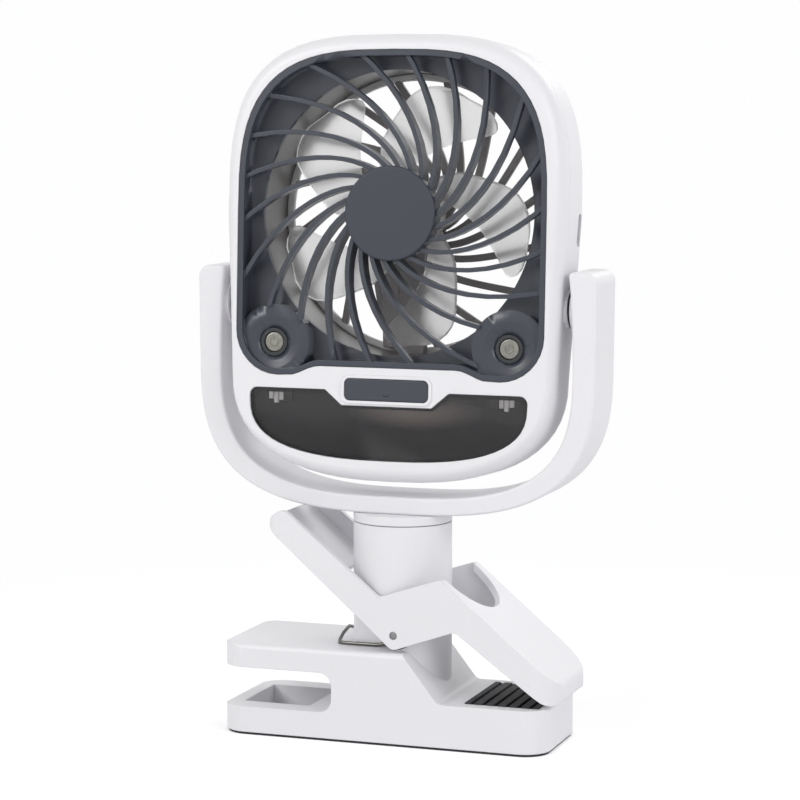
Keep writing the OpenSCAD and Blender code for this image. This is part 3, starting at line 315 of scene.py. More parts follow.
def finished_piece(shape, name, body, material, crease=32, soften=0.0, segments=2):
    """Turns a shape into an object with smooth curves, soft edges and even normals."""
    mesh = bpy.data.meshes.new(name)
    shape.to_mesh(mesh)
    shape.free()
    mesh.shade_smooth()
    mesh.set_sharp_from_angle(angle=math.radians(crease))
    piece = bpy.data.objects.new(name, mesh)
    bpy.context.scene.collection.objects.link(piece)
    if soften:
        edge = piece.modifiers.new("soft_edges", "BEVEL")
        edge.width = soften
        edge.segments = segments
        edge.limit_method = "ANGLE"
        edge.angle_limit = math.radians(crease)
    even = piece.modifiers.new("even_normals", "WEIGHTED_NORMAL")
    even.keep_sharp = True
    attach(piece, body)
    dress(piece, material)
    return piece


def merged_mesh(node, flat):
    """The mesh of a CAD node as a shape, with triangles joined that bend less than an angle."""
    shape = bmesh.new()
    shape.from_mesh(nodes[node].data)
    bmesh.ops.remove_doubles(shape, verts=shape.verts, dist=weld_reach)
    bmesh.ops.dissolve_limit(
        shape, angle_limit=math.radians(flat), verts=shape.verts, edges=shape.edges
    )
    return shape


def moulded_copy(node, name, body, material, soften=0.0, segments=3, crease=32, flat=0.4):
    """A piece in the shape of a CAD node, which it replaces."""
    piece = finished_piece(merged_mesh(node, flat), name, body, material, crease, soften, segments)
    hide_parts(node)


def draw_out(shape, faces, along):
    """Extrudes faces by a vector and turns all normals outward."""
    drawn = bmesh.ops.extrude_face_region(shape, geom=faces)
    moved = [part for part in drawn["geom"] if isinstance(part, bmesh.types.BMVert)]
    bmesh.ops.translate(shape, verts=moved, vec=along)
    bmesh.ops.recalc_face_normals(shape, faces=shape.faces)


def add_disc(shape, r, thick, segments, middle, axis=None):
    """Adds a round disc that lies flat or, with an axis, is turned a quarter about it."""
    disc = bmesh.ops.create_cone(
        shape, cap_ends=True, segments=segments, radius1=r, radius2=r, depth=thick
    )
    if axis:
        bmesh.ops.rotate(shape, verts=disc["verts"], matrix=Matrix.Rotation(math.pi / 2, 3, axis))
    bmesh.ops.translate(shape, verts=disc["verts"], vec=middle)


def add_box(shape, size, middle):
    box = bmesh.ops.create_cube(shape, size=1)
    bmesh.ops.scale(shape, verts=box["verts"], vec=size)
    bmesh.ops.translate(shape, verts=box["verts"], vec=middle)


def spin_copies(shape, count):
    """Repeats a shape evenly about the y axis."""
    bmesh.ops.spin(
        shape, geom=shape.verts[:] + shape.edges[:] + shape.faces[:], axis=(0, 1, 0), cent=(0, 0, 0),
        angle=2 * math.pi * (count - 1) / count, steps=count - 1, use_duplicate=True,
    )


# Clip base: one moulding in white ABS with the finger slot, the lower jaw and the hollow neck.
# Its outer edges are softened, and the skin has the fine satin of a polished mould.
white_abs = moulded_plastic("white_abs", (0.8, 0.795, 0.82), 0.4, drift=0.03, wear_and_shade_colour=(0.86, 0.86, 0.88))
moulded_copy("base_body", "base_moulding", "clip_base", white_abs, soften=0.0009)


# Rubber sole and jaw pads: black elastomer sheets, matt and slightly dusty in their grooves.
# The sole is held by four zinc screws, and the jaw pads are pressed into their recesses.
black_rubber, rubber_tree, rubber_shader = finish_of("black_rubber")
rubber_skin = add_node(
    rubber_tree, "Group", node_tree=moulded_skin,
    Colour=(0.022, 0.022, 0.025, 1), Drift=0.5, Roughness=0.72, Blotch=0.25, Grain_Scale=1500.0,
).outputs
rubber_dust = mapped(
    rubber_tree, noise(rubber_tree, object_place(rubber_tree), Scale=420, Detail=6),
    From_Min=0.55, From_Max=0.85, To_Max=0.35,
)
feed_inputs(
    rubber_tree, rubber_shader, Roughness=rubber_skin["Roughness"],
    Base_Color=colour_mix(rubber_tree, rubber_dust, rubber_skin["Colour"], (0.12, 0.12, 0.125, 1)),
    Normal=bump(rubber_tree, rubber_skin["Height"], 0.7, 0.00005),
)
zinc_steel = metal("zinc_steel", (0.5, 0.5, 0.51), 0.3, 900)
dress_node("base_sole", black_rubber)
dress_node("sole_screws", zinc_steel)
moulded_copy(
    "lower_jaw_pad", "lower_jaw_rubber", "clip_base", black_rubber, soften=0.0002, segments=2
)


# Lever pin: a steel rod through the side walls and the neck. Its ends show as small discs that
# are turned slightly convex, in the bores of the side walls.
pin_steel = metal("pin_steel", (0.3, 0.3, 0.31), 0.34, 700, (1, 0.1, 1))
moulded_copy("lever_pin", "pin_rod", "clip_base", pin_steel, soften=0.0005)


# Spring of the clip: one round wire, wound into a coil on each side of the neck. Its bridge lies
# bent on the finger shelf, and its two arms press up under the handle.
wire_r = 0.0008
wire_gap = 0.00005
pin_at = Vector((0.0046, 0, 0.0496))
coil_r = 0.005
coil_turns = 3
coil_pitch = 0.0021
coil_out = 0.0216
coil_in = coil_out - coil_turns * coil_pitch
coil_steps = 24
shelf_z = 0.0418
wire_z = shelf_z + wire_r + wire_gap
bridge_x = -0.026
bridge_rise = 0.0046
handle_foot = Vector((-0.0006, -0.0068))
handle_dir = Vector((-59.1, 52.1)).normalized()
handle_up = Vector((handle_dir.y, -handle_dir.x))
handle_under = 0.0017
arm_up = handle_under - wire_r - wire_gap
arm_seat_at = 0.040
arm_tip_at = 0.056
arm_seat = handle_foot + arm_seat_at * handle_dir + arm_up * handle_up
arm_tip = handle_foot + arm_tip_at * handle_dir + arm_up * handle_up
coil_from = math.radians(-100)
coil_to = (
    math.atan2(arm_seat.y, arm_seat.x) - math.acos(coil_r / arm_seat.length) + 2 * math.pi * (coil_turns - 1)
)
coil_line = []
for step in range(coil_steps * coil_turns + 1):
    share = step / (coil_steps * coil_turns)
    around = coil_from + (coil_to - coil_from) * share
    coil_line.append((
        pin_at.x + coil_r * math.cos(around),
        coil_in + (coil_out - coil_in) * share,
        pin_at.z + coil_r * math.sin(around),
    ))
near_half = [
    (bridge_x, 0, wire_z + bridge_rise),
    (bridge_x, coil_in * 0.5, wire_z + bridge_rise * 0.62),
    (bridge_x, coil_in - 0.003, wire_z + 0.0005),
    (bridge_x + 0.0008, coil_in - 0.0009, wire_z),
    (bridge_x + 0.003, coil_in, wire_z),
    (pin_at.x - 0.012, coil_in, wire_z),
    *coil_line,
    (pin_at.x + arm_seat.x, coil_out, pin_at.z + arm_seat.y),
    (pin_at.x + arm_tip.x, coil_out, pin_at.z + arm_tip.y),
]
far_half = [(x, -y, z) for x, y, z in reversed(near_half[1:])]
wire_line = far_half + near_half
wire_curve = bpy.data.curves.new("wire_line", "CURVE")
wire_curve.dimensions = "3D"
wire_curve.bevel_depth = wire_r
wire_curve.bevel_resolution = 3
wire_curve.use_fill_caps = True
strand = wire_curve.splines.new("POLY")
strand.points.add(len(wire_line) - 1)
for point, place in zip(strand.points, wire_line):
    point.co = (*place, 1)
wire_guide = bpy.data.objects.new("wire_guide", wire_curve)
bpy.context.scene.collection.objects.link(wire_guide)
bpy.context.view_layer.update()
spring_mesh = bpy.data.meshes.new_from_object(
    wire_guide.evaluated_get(bpy.context.evaluated_depsgraph_get())
)
bpy.data.objects.remove(wire_guide)
spring_mesh.name = "clip_spring_wire"
spring_mesh.shade_smooth()
clip_spring_wire = bpy.data.objects.new("clip_spring_wire", spring_mesh)
bpy.context.scene.collection.objects.link(clip_spring_wire)
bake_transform(clip_spring_wire)
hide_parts("clip_spring")
dress(clip_spring_wire, metal("spring_steel", (0.16, 0.155, 0.15), 0.3, 1200))


# Squeeze lever: handle and upper jaw in one white ABS moulding with open side walls, and the
# ridged rubber pad in the underside of its jaw.
moulded_copy("lever", "lever_moulding", "lever", white_abs, soften=0.0009)
moulded_copy(
    "upper_jaw_pad", "upper_jaw_rubber", "lever", black_rubber, soften=0.0002, segments=2
)


# Swivel in the neck: a plain nylon bush, the collar with its spigot, and a washer and screw that
# hold it from inside. Only the collar's rim shows, above a thin dark gap.
natural_nylon = moulded_plastic(
    "natural_nylon", (0.62, 0.61, 0.56), 0.5, drift=0.08, grain=1800.0, wear_and_shade_colour=(0.7, 0.69, 0.64)
)
dress_node("swivel_bush", natural_nylon)
moulded_copy("swivel_collar", "collar_moulding", "yoke", white_abs, soften=0.0004)
dress_node("swivel_washer", zinc_steel)
dress_node("swivel_screw", zinc_steel)


# Yoke: a deep U-shaped band in white ABS with a flat rim and small radii, screwed to the collar.
# Steel axles and rubber friction washers join its arms to the head.
axle_z = 0.195
arm_top_z = 0.212
arm_inner_top_x = 0.08074
arm_outer_top_x = 0.0936
arm_flare = 0.0004
band_mid_z = 0.172
outer_corner_r = 0.0052
inner_corner_r = 0.0018
band_front_y = -0.014
band_back_y = 0.018
band_edge_r = 0.0013
seat_r = 0.012
seat_thick = 0.004
seat_z = 0.104
pad_r = 0.011
pad_thick = 0.006
pad_x = 0.08334
# Each side of the band: half its width, its depth below the middle, and the power of its curve
band_outer = (0.0932, 0.070, 2 / 3)
band_inner = (0.0826, 0.062, 2 / 3.1)


def band_bend(side, steps=40):
    """The right half of one side of the band, from under the head to the foot of the arm."""
    half_x, half_z, power = side
    points = []
    for k in range(steps + 1):
        turn = math.pi / 2 * k / steps
        points.append((half_x * math.sin(turn) ** power, band_mid_z - half_z * math.cos(turn) ** power))
    return points


def round_corner(x, z, r, start, stop, steps=8):
    turns = [math.radians(start + (stop - start) * k / steps) for k in range(steps + 1)]
    return [(x + r * math.cos(a), z + r * math.sin(a)) for a in turns]


arm_rise_z = arm_top_z - band_mid_z
arm_outside = [(band_outer[0] + arm_flare * f, band_mid_z + arm_rise_z * f) for f in (0.2, 0.4, 0.6, 0.8)]
arm_inside = [
    (band_inner[0] - (band_inner[0] - arm_inner_top_x) * f * f, band_mid_z + arm_rise_z * f)
    for f in (0.8, 0.6, 0.4, 0.2)
]
right_half = (
    band_bend(band_outer)
    + arm_outside
    + round_corner(arm_outer_top_x - outer_corner_r, arm_top_z - outer_corner_r, outer_corner_r, 0, 90)
    + round_corner(arm_inner_top_x + inner_corner_r, arm_top_z - inner_corner_r, inner_corner_r, 90, 180, 5)
    + arm_inside
    + band_bend(band_inner)[::-1]
)
left_half = [(-x, z) for x, z in right_half[::-1][1:-1]]
band = bmesh.new()
band_face = band.faces.new([band.verts.new((x, band_front_y, z)) for x, z in right_half + left_half])
draw_out(band, [band_face], (0, band_back_y - band_front_y, 0))
rim_edges = [e for e in band.edges if abs(e.verts[0].co.y - e.verts[1].co.y) < 1e-6]
bmesh.ops.bevel(
    band, geom=rim_edges, offset=band_edge_r, segments=4, profile=0.5, affect="EDGES", material=-1,
    clamp_overlap=True,
)
add_disc(band, seat_r, seat_thick, 64, (0, 0, seat_z))
for hand in (-1, 1):
    add_disc(band, pad_r, pad_thick, 48, (hand * pad_x, 0, axle_z), "Y")
yoke_moulding = finished_piece(band, "yoke_moulding", "yoke", white_abs)
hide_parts("yoke")
dress_node("tilt_axles", zinc_steel)
dress_node("friction_washers", black_rubber)


# Head housing: a white bezel with its raised key rim in front, and a deep white shell behind.
# They meet in a thin seam, and four screws come in from the back.
lean = math.radians(3)
into_head = Matrix.Translation((0, 0, axle_z)) @ Matrix.Rotation(-lean, 4, "X")
moulded_copy("front_bezel", "bezel_moulding", "head", white_abs, crease=38)
moulded_copy("rear_shell", "shell_moulding", "head", white_abs, crease=38)
dress_node("tilt_bushes", natural_nylon)
dress_node("housing_screws", zinc_steel)


# Front grille: rim, swirled ribs, button bosses and hub ring in one slate-grey moulding, with a
# smooth disc pressed over the hub. The ribs are deep beside the hub and shallow at the rim.
slate_pp = moulded_plastic(
    "slate_pp", (0.045, 0.051, 0.067), 0.31, drift=0.12, blotch=0.12, grain=1900.0, depth=0.00003,
    wear_and_shade_colour=(0.075, 0.085, 0.105),
)
hub_paint = moulded_plastic(
    "hub_paint", (0.034, 0.039, 0.055), 0.5, drift=0.08, blotch=0.1, grain=2400.0,
    wear_and_shade_colour=(0.1, 0.115, 0.14), edge=0.0006,
)
moulded_copy("front_grille", "grille_moulding", "head", slate_pp, flat=0.02)
moulded_copy("hub_disc", "hub_cap", "head", hub_paint, soften=0.0004, crease=25)


# Air path behind the ribs: the duct ring, white plastic coloured dark grey as painted shade, and a rear
# guard of wide swept bars in a pale ring, greyed as painted shade, with a round plate in its middle, all let
# into the back of the shell.
fan_z = 0.0407
fan_centre = into_head @ Matrix.Translation((0, 0, fan_z))
guard_front = 0.0177
guard_back = 0.0205
bar_count = 16
bar_w = 0.0032
bar_from = 0.0142
bar_to = 0.0612
bar_sweep_from = 56
bar_sweep_drop = 30
plate_r = 0.015
plate_thick = 0.0026
plate_y = 0.0192
# Points radius, depth of the ring's section
vent_profile = (
    (0.0604, 0.0181), (0.0604, 0.0206), (0.0619, 0.0206), (0.0619, 0.01875), (0.0634, 0.01875),
    (0.0634, 0.0176), (0.0612, 0.0176),
)
# Painted shade: the duct lining is white plastic, given a dark grey colour for the shade inside the duct.
duct_shaded_abs = moulded_plastic(
    "duct_shaded_abs", (0.22, 0.213, 0.207), 0.34, drift=0.08, blotch=0.06, wear_and_shade_colour=(0.3, 0.29, 0.28)
)
# Painted shade: the vent ring is white plastic, given a greyer white than the shell for the shade inside the
# head.
vent_shaded_abs = moulded_plastic("vent_shaded_abs", (0.6, 0.6, 0.6), 0.4, drift=0.06, wear_and_shade_colour=(0.65, 0.65, 0.65))
dark_pp = moulded_plastic(
    "dark_pp", (0.23, 0.22, 0.22), 0.45, drift=0.15, grain=1900.0, wear_and_shade_colour=(0.26, 0.25, 0.25)
)
moulded_copy("duct_ring", "duct_lining", "head", duct_shaded_abs, soften=0.0003, crease=30)


def bar_sides(steps=16):
    """The two long sides of one guard bar as points x, z about the fan's centre."""
    one, other = [], []
    turn = 0.0
    last_r = bar_from
    for k in range(steps + 1):
        share = k / steps
        r = bar_from + (bar_to - bar_from) * share
        sweep = math.radians(bar_sweep_from - bar_sweep_drop * share)
        turn -= math.tan(sweep) * (r - last_r) / r
        last_r = r
        x, z = r * math.sin(turn), r * math.cos(turn)
        across = (math.cos(turn - sweep) * bar_w / 2, -math.sin(turn - sweep) * bar_w / 2)
        one.append((x + across[0], z + across[1]))
        other.append((x - across[0], z - across[1]))
    return one, other


def turned_ring(shape, profile, steps=96, closed=True):
    """Turns a profile of points radius, depth about the fan's axis."""
    points = [shape.verts.new((r, y, 0)) for r, y in profile]
    following = points[1:] + points[:1] if closed else points[1:]
    edges = [shape.edges.new(pair) for pair in zip(points, following)]
    bmesh.ops.spin(
        shape, geom=points + edges, axis=(0, 1, 0), cent=(0, 0, 0), angle=2 * math.pi, steps=steps,
        use_merge=True,
    )
    bmesh.ops.remove_doubles(shape, verts=shape.verts, dist=1e-6)
    bmesh.ops.recalc_face_normals(shape, faces=shape.faces)


guard = bmesh.new()
one_side, other_side = bar_sides()
bar_face = guard.faces.new([guard.verts.new((x, guard_front, z)) for x, z in one_side + other_side[::-1]])
draw_out(guard, [bar_face], (0, guard_back - guard_front, 0))
spin_copies(guard, bar_count)
add_disc(guard, plate_r, plate_thick, 64, (0, plate_y, 0), "X")
bmesh.ops.transform(guard, matrix=fan_centre, verts=guard.verts)
rear_guard = finished_piece(guard, "rear_guard", "head", dark_pp, soften=0.0004)
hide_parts("rear_grille")

vent = bmesh.new()
turned_ring(vent, vent_profile)
bmesh.ops.transform(vent, matrix=fan_centre, verts=vent.verts)
vent_ring = finished_piece(vent, "vent_ring", "head", vent_shaded_abs, soften=0.0003)


# Motor: a drawn steel can held in a cup, whose wide strut runs down to the rim of the air duct,
# and a cover for the motor's leads beside it. Strut and cover are dark glass-filled plastic.
cover_size = (0.0088, 0.0042, 0.049)
cover_middle = Vector((-0.0106, 0.0146, -0.0361))
cover_taper = 0.0012
motor_steel = metal("motor_steel", (0.42, 0.42, 0.43), 0.3, 500, (1, 8, 1))
dress_node("motor_mount", dark_pp)
dress_node("motor_can", motor_steel)
lead_cover = bmesh.new()
add_box(lead_cover, cover_size, cover_middle)
outer_foot = [v for v in lead_cover.verts if v.co.z < cover_middle.z and v.co.x < cover_middle.x]
bmesh.ops.translate(lead_cover, verts=outer_foot, vec=(cover_taper, 0, 0))
bmesh.ops.transform(lead_cover, matrix=fan_centre, verts=lead_cover.verts)
motor_lead_cover = finished_piece(
    lead_cover, "motor_lead_cover", "head", dark_pp, soften=0.0006, segments=3
)


# Fan: a hub cup and five swept blades moulded in frosted grey styrene, which lets light through.
# The fan is pressed on a steel shaft with the wound armature behind it.
blade_count = 5
blade_mid = -0.0008
blade_thick = 0.0013
blade_root = 0.017
blade_span = 0.0416
blade_camber = 0.0010
climb_at_root = 0.6
climb_drop = 0.28
# Rows across a blade: radius, and the angles of its two edges in degrees
blade_rows = (
    (0.0166, -37, -3), (0.0200, -31, 5), (0.0240, -24, 13), (0.0270, -20.7, 18), (0.0300, -18, 23),
    (0.0335, -14.5, 28), (0.0370, -9.5, 32.5), (0.0415, -4.4, 38), (0.0455, -0.4, 42), (0.0500, 3.4, 46),
    (0.0530, 6, 47.8), (0.0555, 9.2, 47.6), (0.0572, 13, 45.6), (0.0582, 17.5, 42.5), (0.0586, 22.5, 38.5),
)
# Points radius, depth of the cup's section
cup_profile = (
    (0, -0.0085), (0.0155, -0.0085), (0.0169, -0.0079), (0.0175, -0.0065), (0.0175, 0.007),
    (0.0155, 0.007), (0.0155, -0.0065), (0, -0.0065),
)
rotor = bmesh.new()
bmesh.ops.create_grid(rotor, x_segments=16, y_segments=len(blade_rows) - 1, size=0.5)
for corner in rotor.verts:
    row = round((corner.co.y + 0.5) * (len(blade_rows) - 1))
    across = corner.co.x + 0.5
    reach, first, final = blade_rows[row]
    turn = math.radians(first + (final - first) * across)
    climb = climb_at_root - climb_drop * (reach - blade_root) / blade_span
    half_arc = reach * math.radians(final - first) / 2
    off_middle = 2 * across - 1
    depth = blade_mid + climb * half_arc * off_middle + blade_camber * (1 - off_middle ** 2)
    corner.co = (reach * math.sin(turn), depth, reach * math.cos(turn))
bmesh.ops.recalc_face_normals(rotor, faces=rotor.faces)
bmesh.ops.solidify(rotor, geom=rotor.faces[:], thickness=blade_thick)
spin_copies(rotor, blade_count)
cup = bmesh.new()
turned_ring(cup, cup_profile, steps=64, closed=False)
cup_mesh = bpy.data.meshes.new("hub_cup")
cup.to_mesh(cup_mesh)
cup.free()
rotor.from_mesh(cup_mesh)
bmesh.ops.transform(rotor, matrix=fan_centre, verts=rotor.verts)
# Painted shade: the dark edge colour paints a thin dark outline along the blades' edges.
blade_styrene = moulded_plastic(
    "blade_styrene", (0.97, 0.97, 0.972), 0.45, drift=0.04, blotch=0.06, wear_and_shade_colour=(0.12, 0.12, 0.13),
    edge=0.0007, Transmission_Weight=0.95, IOR=1.3,
)
fan_moulding = finished_piece(rotor, "fan_moulding", "fan", blade_styrene, crease=40, soften=0.0003)
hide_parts("fan_rotor")
dress_node("motor_shaft", zinc_steel)

copper_wire, copper_tree, copper_shader = finish_of("copper_wire")
copper_turns = add_node(
    copper_tree, "TexWave", Vector=object_place(copper_tree), Scale=900, Distortion=1.5
).outputs["Fac"]
feed_inputs(
    copper_tree, copper_shader, Metallic=1.0, Normal=bump(copper_tree, copper_turns, 1.0, 0.0002),
    Base_Color=colour_mix(copper_tree, copper_turns, (0.35, 0.12, 0.05, 1), (0.72, 0.36, 0.17, 1)),
    Roughness=mapped(copper_tree, copper_turns, To_Min=0.25, To_Max=0.45),
)
dress_node("motor_armature", copper_wire)


# Push buttons: two champagne metal caps with turning marks, each in a dark ring at the bottom of
# a dished boss. A generic on-off sign is etched into each cap.
button_spots = {"fan_button": (-0.0552, -0.0176), "light_button": (0.0552, -0.0176)}
face_y = -0.0205
cap_sunk = 0.0041
cap_y = face_y + cap_sunk
turning_marks = 14000
mark_proud = 0.00002
mark_thick = 0.0001
sign_outer_r = 0.0021
sign_inner_r = 0.00175
sign_bar_half = 0.00018
sign_bar_low = 0.0006
sign_bar_high = 0.0024


def turned_metal(name, centre):
    """Champagne metal with fine circles about the middle of one cap."""
    material, tree, shader = finish_of(name)
    place = object_place(tree)
    reach = distance_about(tree, place, centre, Rotation=(-lean, 0, 0))
    marks = maths(tree, "SINE", maths(tree, "MULTIPLY", reach, turning_marks))
    uneven = maths(tree, "MULTIPLY_ADD", marks, 0.25, noise(tree, place, Scale=500))
    feed_inputs(
        tree, shader, Metallic=0.75, Normal=bump(tree, marks, 0.3, 0.00001),
        Base_Color=colour_mix(tree, uneven, (0.15, 0.148, 0.13, 1), (0.35, 0.346, 0.31, 1)),
        Roughness=mapped(tree, uneven, To_Min=0.28, To_Max=0.46),
    )
    return material


etched, etched_tree, etched_shader = finish_of("etched_mark")
etched_noise = noise(etched_tree, object_place(etched_tree), Scale=3000)
feed_inputs(
    etched_tree, etched_shader, Roughness=0.6,
    Base_Color=colour_mix(etched_tree, etched_noise, (0.1, 0.095, 0.08, 1), (0.17, 0.165, 0.14, 1)),
)


def flat_mark(name, outline, face, body, material):
    """A thin printed or etched mark on a face: a flat outline, given as points x, z in the head."""
    shape = bmesh.new()
    front = shape.faces.new([shape.verts.new((x, face - mark_proud, z)) for x, z in outline])
    draw_out(shape, [front], (0, mark_thick, 0))
    bmesh.ops.transform(shape, matrix=into_head, verts=shape.verts)
    mesh = bpy.data.meshes.new(name)
    shape.to_mesh(mesh)
    shape.free()
    piece = bpy.data.objects.new(name, mesh)
    bpy.context.scene.collection.objects.link(piece)
    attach(piece, body)
    dress(piece, material)


def ring_outline(x, z, outer, inner, start, stop, steps):
    """A band between two circles from one angle in degrees to another, as points x, z."""
    start, stop = math.radians(start), math.radians(stop)
    turns = [start + (stop - start) * k / steps for k in range(steps + 1)]
    out = [(x + outer * math.cos(t), z + outer * math.sin(t)) for t in turns]
    back = [(x + inner * math.cos(t), z + inner * math.sin(t)) for t in reversed(turns)]
    return out + back


for button, (x, z) in button_spots.items():
    cap_metal = turned_metal(button + "_metal", into_head @ Vector((x, cap_y, z)))
    moulded_copy(button, button + "_cap", button, cap_metal, soften=0.0003, crease=25)
    sign_ring = ring_outline(x, z, sign_outer_r, sign_inner_r, 120, 420, 28)
    flat_mark(button + "_sign_ring", sign_ring, cap_y, button, etched)
    sign_bar = [
        (x - sign_bar_half, z + sign_bar_low), (x + sign_bar_half, z + sign_bar_low),
        (x + sign_bar_half, z + sign_bar_high), (x - sign_bar_half, z + sign_bar_high),
    ]
    flat_mark(button + "_sign_bar", sign_bar, cap_y, button, etched)
ring_gloss = moulded_plastic(
    "ring_gloss", (0.03, 0.032, 0.036), 0.25, drift=0.1, wear_and_shade_colour=(0.08, 0.08, 0.09), edge=0.0003
)
dress_node("button_rings", ring_gloss)


# Mode key: a wide slate key in the raised white rim, with a small round-ended sign pressed into
# the lower edge of its face.
key_z = -0.0374
key_proud = 0.0001
key_face_y = face_y - key_proud
key_sign_drop = 0.0014
key_sign_outer_r = 0.0016
key_sign_inner_r = 0.0011
moulded_copy("mode_key", "key_cap", "mode_key", slate_pp, soften=0.0005)
key_sign_ink = moulded_plastic("key_sign_ink", (0.012, 0.012, 0.014), 0.5, drift=0.1)
key_sign = ring_outline(0, key_z - key_sign_drop, key_sign_outer_r, key_sign_inner_r, 200, 340, 14)
flat_mark("key_sign", key_sign, key_face_y, "mode_key", key_sign_ink)


# Lamp: a smoked acrylic window with a black printed border, before a dark satin bowl. It is off; the soft
# brown light behind the middle of the window is a painted glow in the bowl's colour.
smoked_acrylic, smoke_tree, smoke_shader = finish_of("smoked_acrylic")
smoke_cloud = noise(smoke_tree, object_place(smoke_tree), Scale=30)
feed_inputs(
    smoke_tree, smoke_shader, Transmission_Weight=1.0, IOR=1.42, Specular_IOR_Level=0.1,
    Base_Color=colour_mix(smoke_tree, smoke_cloud, (0.785, 0.775, 0.782, 1), (0.845, 0.835, 0.842, 1)),
    Roughness=mapped(smoke_tree, smoke_cloud, To_Min=0.02, To_Max=0.08),
)
moulded_copy("lamp_lens", "window_pane", "head", smoked_acrylic, flat=0.02)

glow_middle = (0.011, 0, 0.1495)
glow_reach = (0.034, 1, 0.009)
bowl_dark = (0.016, 0.015, 0.018, 1)
bowl_satin, bowl_tree, bowl_shader = finish_of("tray_plastic")
# The skin's brown colour is the colour of the painted glow; its roughness is the bowl's own.
bowl_skin = add_node(
    bowl_tree, "Group", node_tree=moulded_skin,
    Colour=(0.17, 0.145, 0.13, 1), Drift=0.2, Roughness=0.3, Blotch=0.15, Grain_Scale=1500.0,
).outputs
# Painted light: a soft brown glow painted into the bowl's colour about a point behind the window's middle,
# fading out to the dark satin.
bowl_painted_glow = mapped(
    bowl_tree, distance_about(bowl_tree, object_place(bowl_tree), glow_middle, Scale=glow_reach),
    interpolation_type="SMOOTHSTEP", From_Min=1.1, From_Max=0.1,
)
feed_inputs(
    bowl_tree, bowl_shader, Metallic=0.45, Specular_IOR_Level=0.2, Roughness=bowl_skin["Roughness"],
    Base_Color=colour_mix(bowl_tree, bowl_painted_glow, bowl_dark, bowl_skin["Colour"]),
)

pane = merged_mesh("lamp_lens", 0.4)
bmesh.ops.transform(pane, matrix=into_head.inverted(), verts=pane.verts)
pane.normal_update()
# The window's outline is that of the largest face at the very front of the pane
pane_face = min(pane.faces, key=lambda f: (round(f.calc_center_median().y, 4), -f.calc_area()))
window_line = [v.co.copy() for v in pane_face.verts]
pane.free()


def window_shape(y):
    """A flat face in the outline of the lamp window, at a depth in the head."""
    shape = bmesh.new()
    face = shape.faces.new([shape.verts.new((v.x, y, v.z)) for v in window_line])
    shape.normal_update()
    if face.normal.y > 0:
        bmesh.ops.reverse_faces(shape, faces=[face])
    return shape, face


def next_ring(shape, face, middle_z, narrow, low, deeper=0.0):
    """Extrudes the window's face, scales the copy about its middle, and returns it."""
    grown = bmesh.ops.extrude_face_region(shape, geom=[face])
    face = next(part for part in grown["geom"] if isinstance(part, bmesh.types.BMFace))
    bmesh.ops.transform(
        shape, verts=face.verts[:],
        matrix=Matrix.Translation((0, deeper, middle_z))
        @ Matrix.Diagonal((narrow, 1, low, 1))
        @ Matrix.Translation((0, 0, -middle_z)),
    )
    return face


bowl_rim_y = -0.0166
bowl_depth = 0.007
bowl_mid_z = -0.058
bowl_steps = 9
bowl_narrowing = 0.25
bowl_lowering = 0.95
bowl_wall = 0.0004
bowl, bowl_cover = window_shape(bowl_rim_y)
bowl_face = bowl_cover
narrow, low = 1.0, 1.0
for k in range(1, bowl_steps + 1):
    turn = math.pi / 2 * k / bowl_steps
    now_narrow = 1 - bowl_narrowing * (1 - math.cos(turn))
    now_low = 1 - bowl_lowering * (1 - math.cos(turn))
    deeper = bowl_depth * (math.sin(turn) - math.sin(turn - math.pi / 2 / bowl_steps))
    bowl_face = next_ring(bowl, bowl_face, bowl_mid_z, now_narrow / narrow, now_low / low, deeper)
    narrow, low = now_narrow, now_low
bmesh.ops.delete(bowl, geom=[bowl_cover], context="FACES_ONLY")
draw_out(bowl, bowl.faces[:], (0, bowl_wall, 0))
bmesh.ops.transform(bowl, matrix=into_head, verts=bowl.verts)
lamp_tray = finished_piece(bowl, "lamp_tray", "head", bowl_satin, crease=60)
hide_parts("lamp_reflector")

border_y = -0.01672
border_mid_z = -0.0575
border_narrowing = 0.975
border_lowering = 0.9
border_thick = 0.00024
border, border_face = window_shape(border_y)
border_hole = next_ring(border, border_face, border_mid_z, border_narrowing, border_lowering)
bmesh.ops.delete(border, geom=[border_face, border_hole], context="FACES_ONLY")
draw_out(border, border.faces[:], (0, -border_thick, 0))
bmesh.ops.transform(border, matrix=into_head, verts=border.verts)
border_ink = moulded_plastic(
    "border_ink", (0.004, 0.004, 0.005), 0.8, drift=0.3, blotch=0.1, Specular_IOR_Level=0.05
)
finished_piece(border, "window_border", "head", border_ink)


# Window clips: at each top corner, three nylon fingers and a dark hook hold the window from
# behind. They show through the smoked pane as pale bars beside a black block.
clip_shift_x = 0.0006
finger_x = 0.0565
finger_pitch = 0.0024
finger_y = -0.0158
finger_w = 0.0021
finger_thick = 0.0016
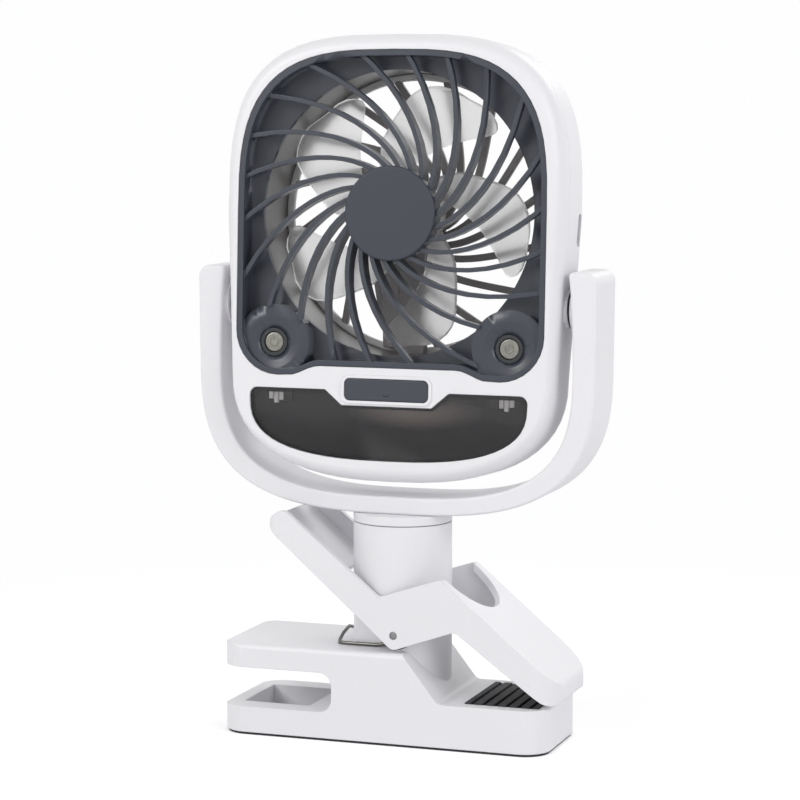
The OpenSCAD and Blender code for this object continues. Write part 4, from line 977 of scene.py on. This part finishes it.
# Height and middle z of the three fingers, from the outer one inward
finger_rows = ((0.0046, -0.0408), (0.0064, -0.0417), (0.0044, -0.0414))
hook_at = Vector((0.0483, -0.0157, -0.0418))
hook_size = (0.0044, 0.0018, 0.0044)
clear_pa = moulded_plastic(
    "clear_pa", (0.62, 0.61, 0.6), 0.45, drift=0.06, grain=1800.0, wear_and_shade_colour=(0.66, 0.65, 0.63)
)
black_pa = moulded_plastic("black_pa", (0.004, 0.004, 0.005), 0.6, drift=0.2, wear_and_shade_colour=(0.008, 0.008, 0.008))
clip_fingers = bmesh.new()
clip_hooks = bmesh.new()
for hand in (-1, 1):
    for k, (finger_h, finger_z) in enumerate(finger_rows):
        x = clip_shift_x + hand * (finger_x - finger_pitch * k)
        add_box(clip_fingers, (finger_w, finger_thick, finger_h), (x, finger_y, finger_z))
    add_box(clip_hooks, hook_size, (clip_shift_x + hand * hook_at.x, hook_at.y, hook_at.z))
bmesh.ops.transform(clip_fingers, matrix=into_head, verts=clip_fingers.verts)
bmesh.ops.transform(clip_hooks, matrix=into_head, verts=clip_hooks.verts)
window_clips = finished_piece(clip_fingers, "window_clips", "head", clear_pa, soften=0.0003, segments=3)
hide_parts("lens_clips")
finished_piece(clip_hooks, "window_hooks", "head", black_pa, soften=0.0004, segments=3)


# Light emitters and the boards of the head: glass-fibre boards with a green solder mask, and six
# emitters in dark resin in a row behind the lamp bowl.
green_board, board_tree, board_shader = finish_of("green_board")
board_tracks = add_node(
    board_tree, "TexBrick", Vector=object_place(board_tree), Scale=240, Mortar_Size=0.03,
    Color1=(0.02, 0.13, 0.06, 1), Color2=(0.025, 0.16, 0.075, 1), Mortar=(0.05, 0.24, 0.11, 1),
).outputs
feed_inputs(
    board_tree, board_shader, Base_Color=board_tracks["Color"],
    Roughness=mapped(board_tree, board_tracks["Fac"], To_Min=0.25, To_Max=0.4),
)
emitter_resin = moulded_plastic(
    "emitter_resin", (0.05, 0.046, 0.036), 0.4, drift=0.1, wear_and_shade_colour=(0.3, 0.27, 0.16)
)
dress_node("lamp_board", green_board)
dress_node("lamp_leds", emitter_resin)


# Electronics in the head: the control board with its tact switches, the charging board with its
# steel socket, and two cells in a black holder behind the lamp.
cell_sleeve = moulded_plastic(
    "cell_sleeve", (0.07, 0.2, 0.42), 0.28, drift=0.1, wear_and_shade_colour=(0.12, 0.28, 0.5)
)
dress_node("control_board", green_board)
dress_node("charge_board", green_board)
dress_node("tact_switches", black_pa)
dress_node("battery_holder", black_pa)
dress_node("charge_socket", zinc_steel)
dress_node("battery_cells", cell_sleeve)
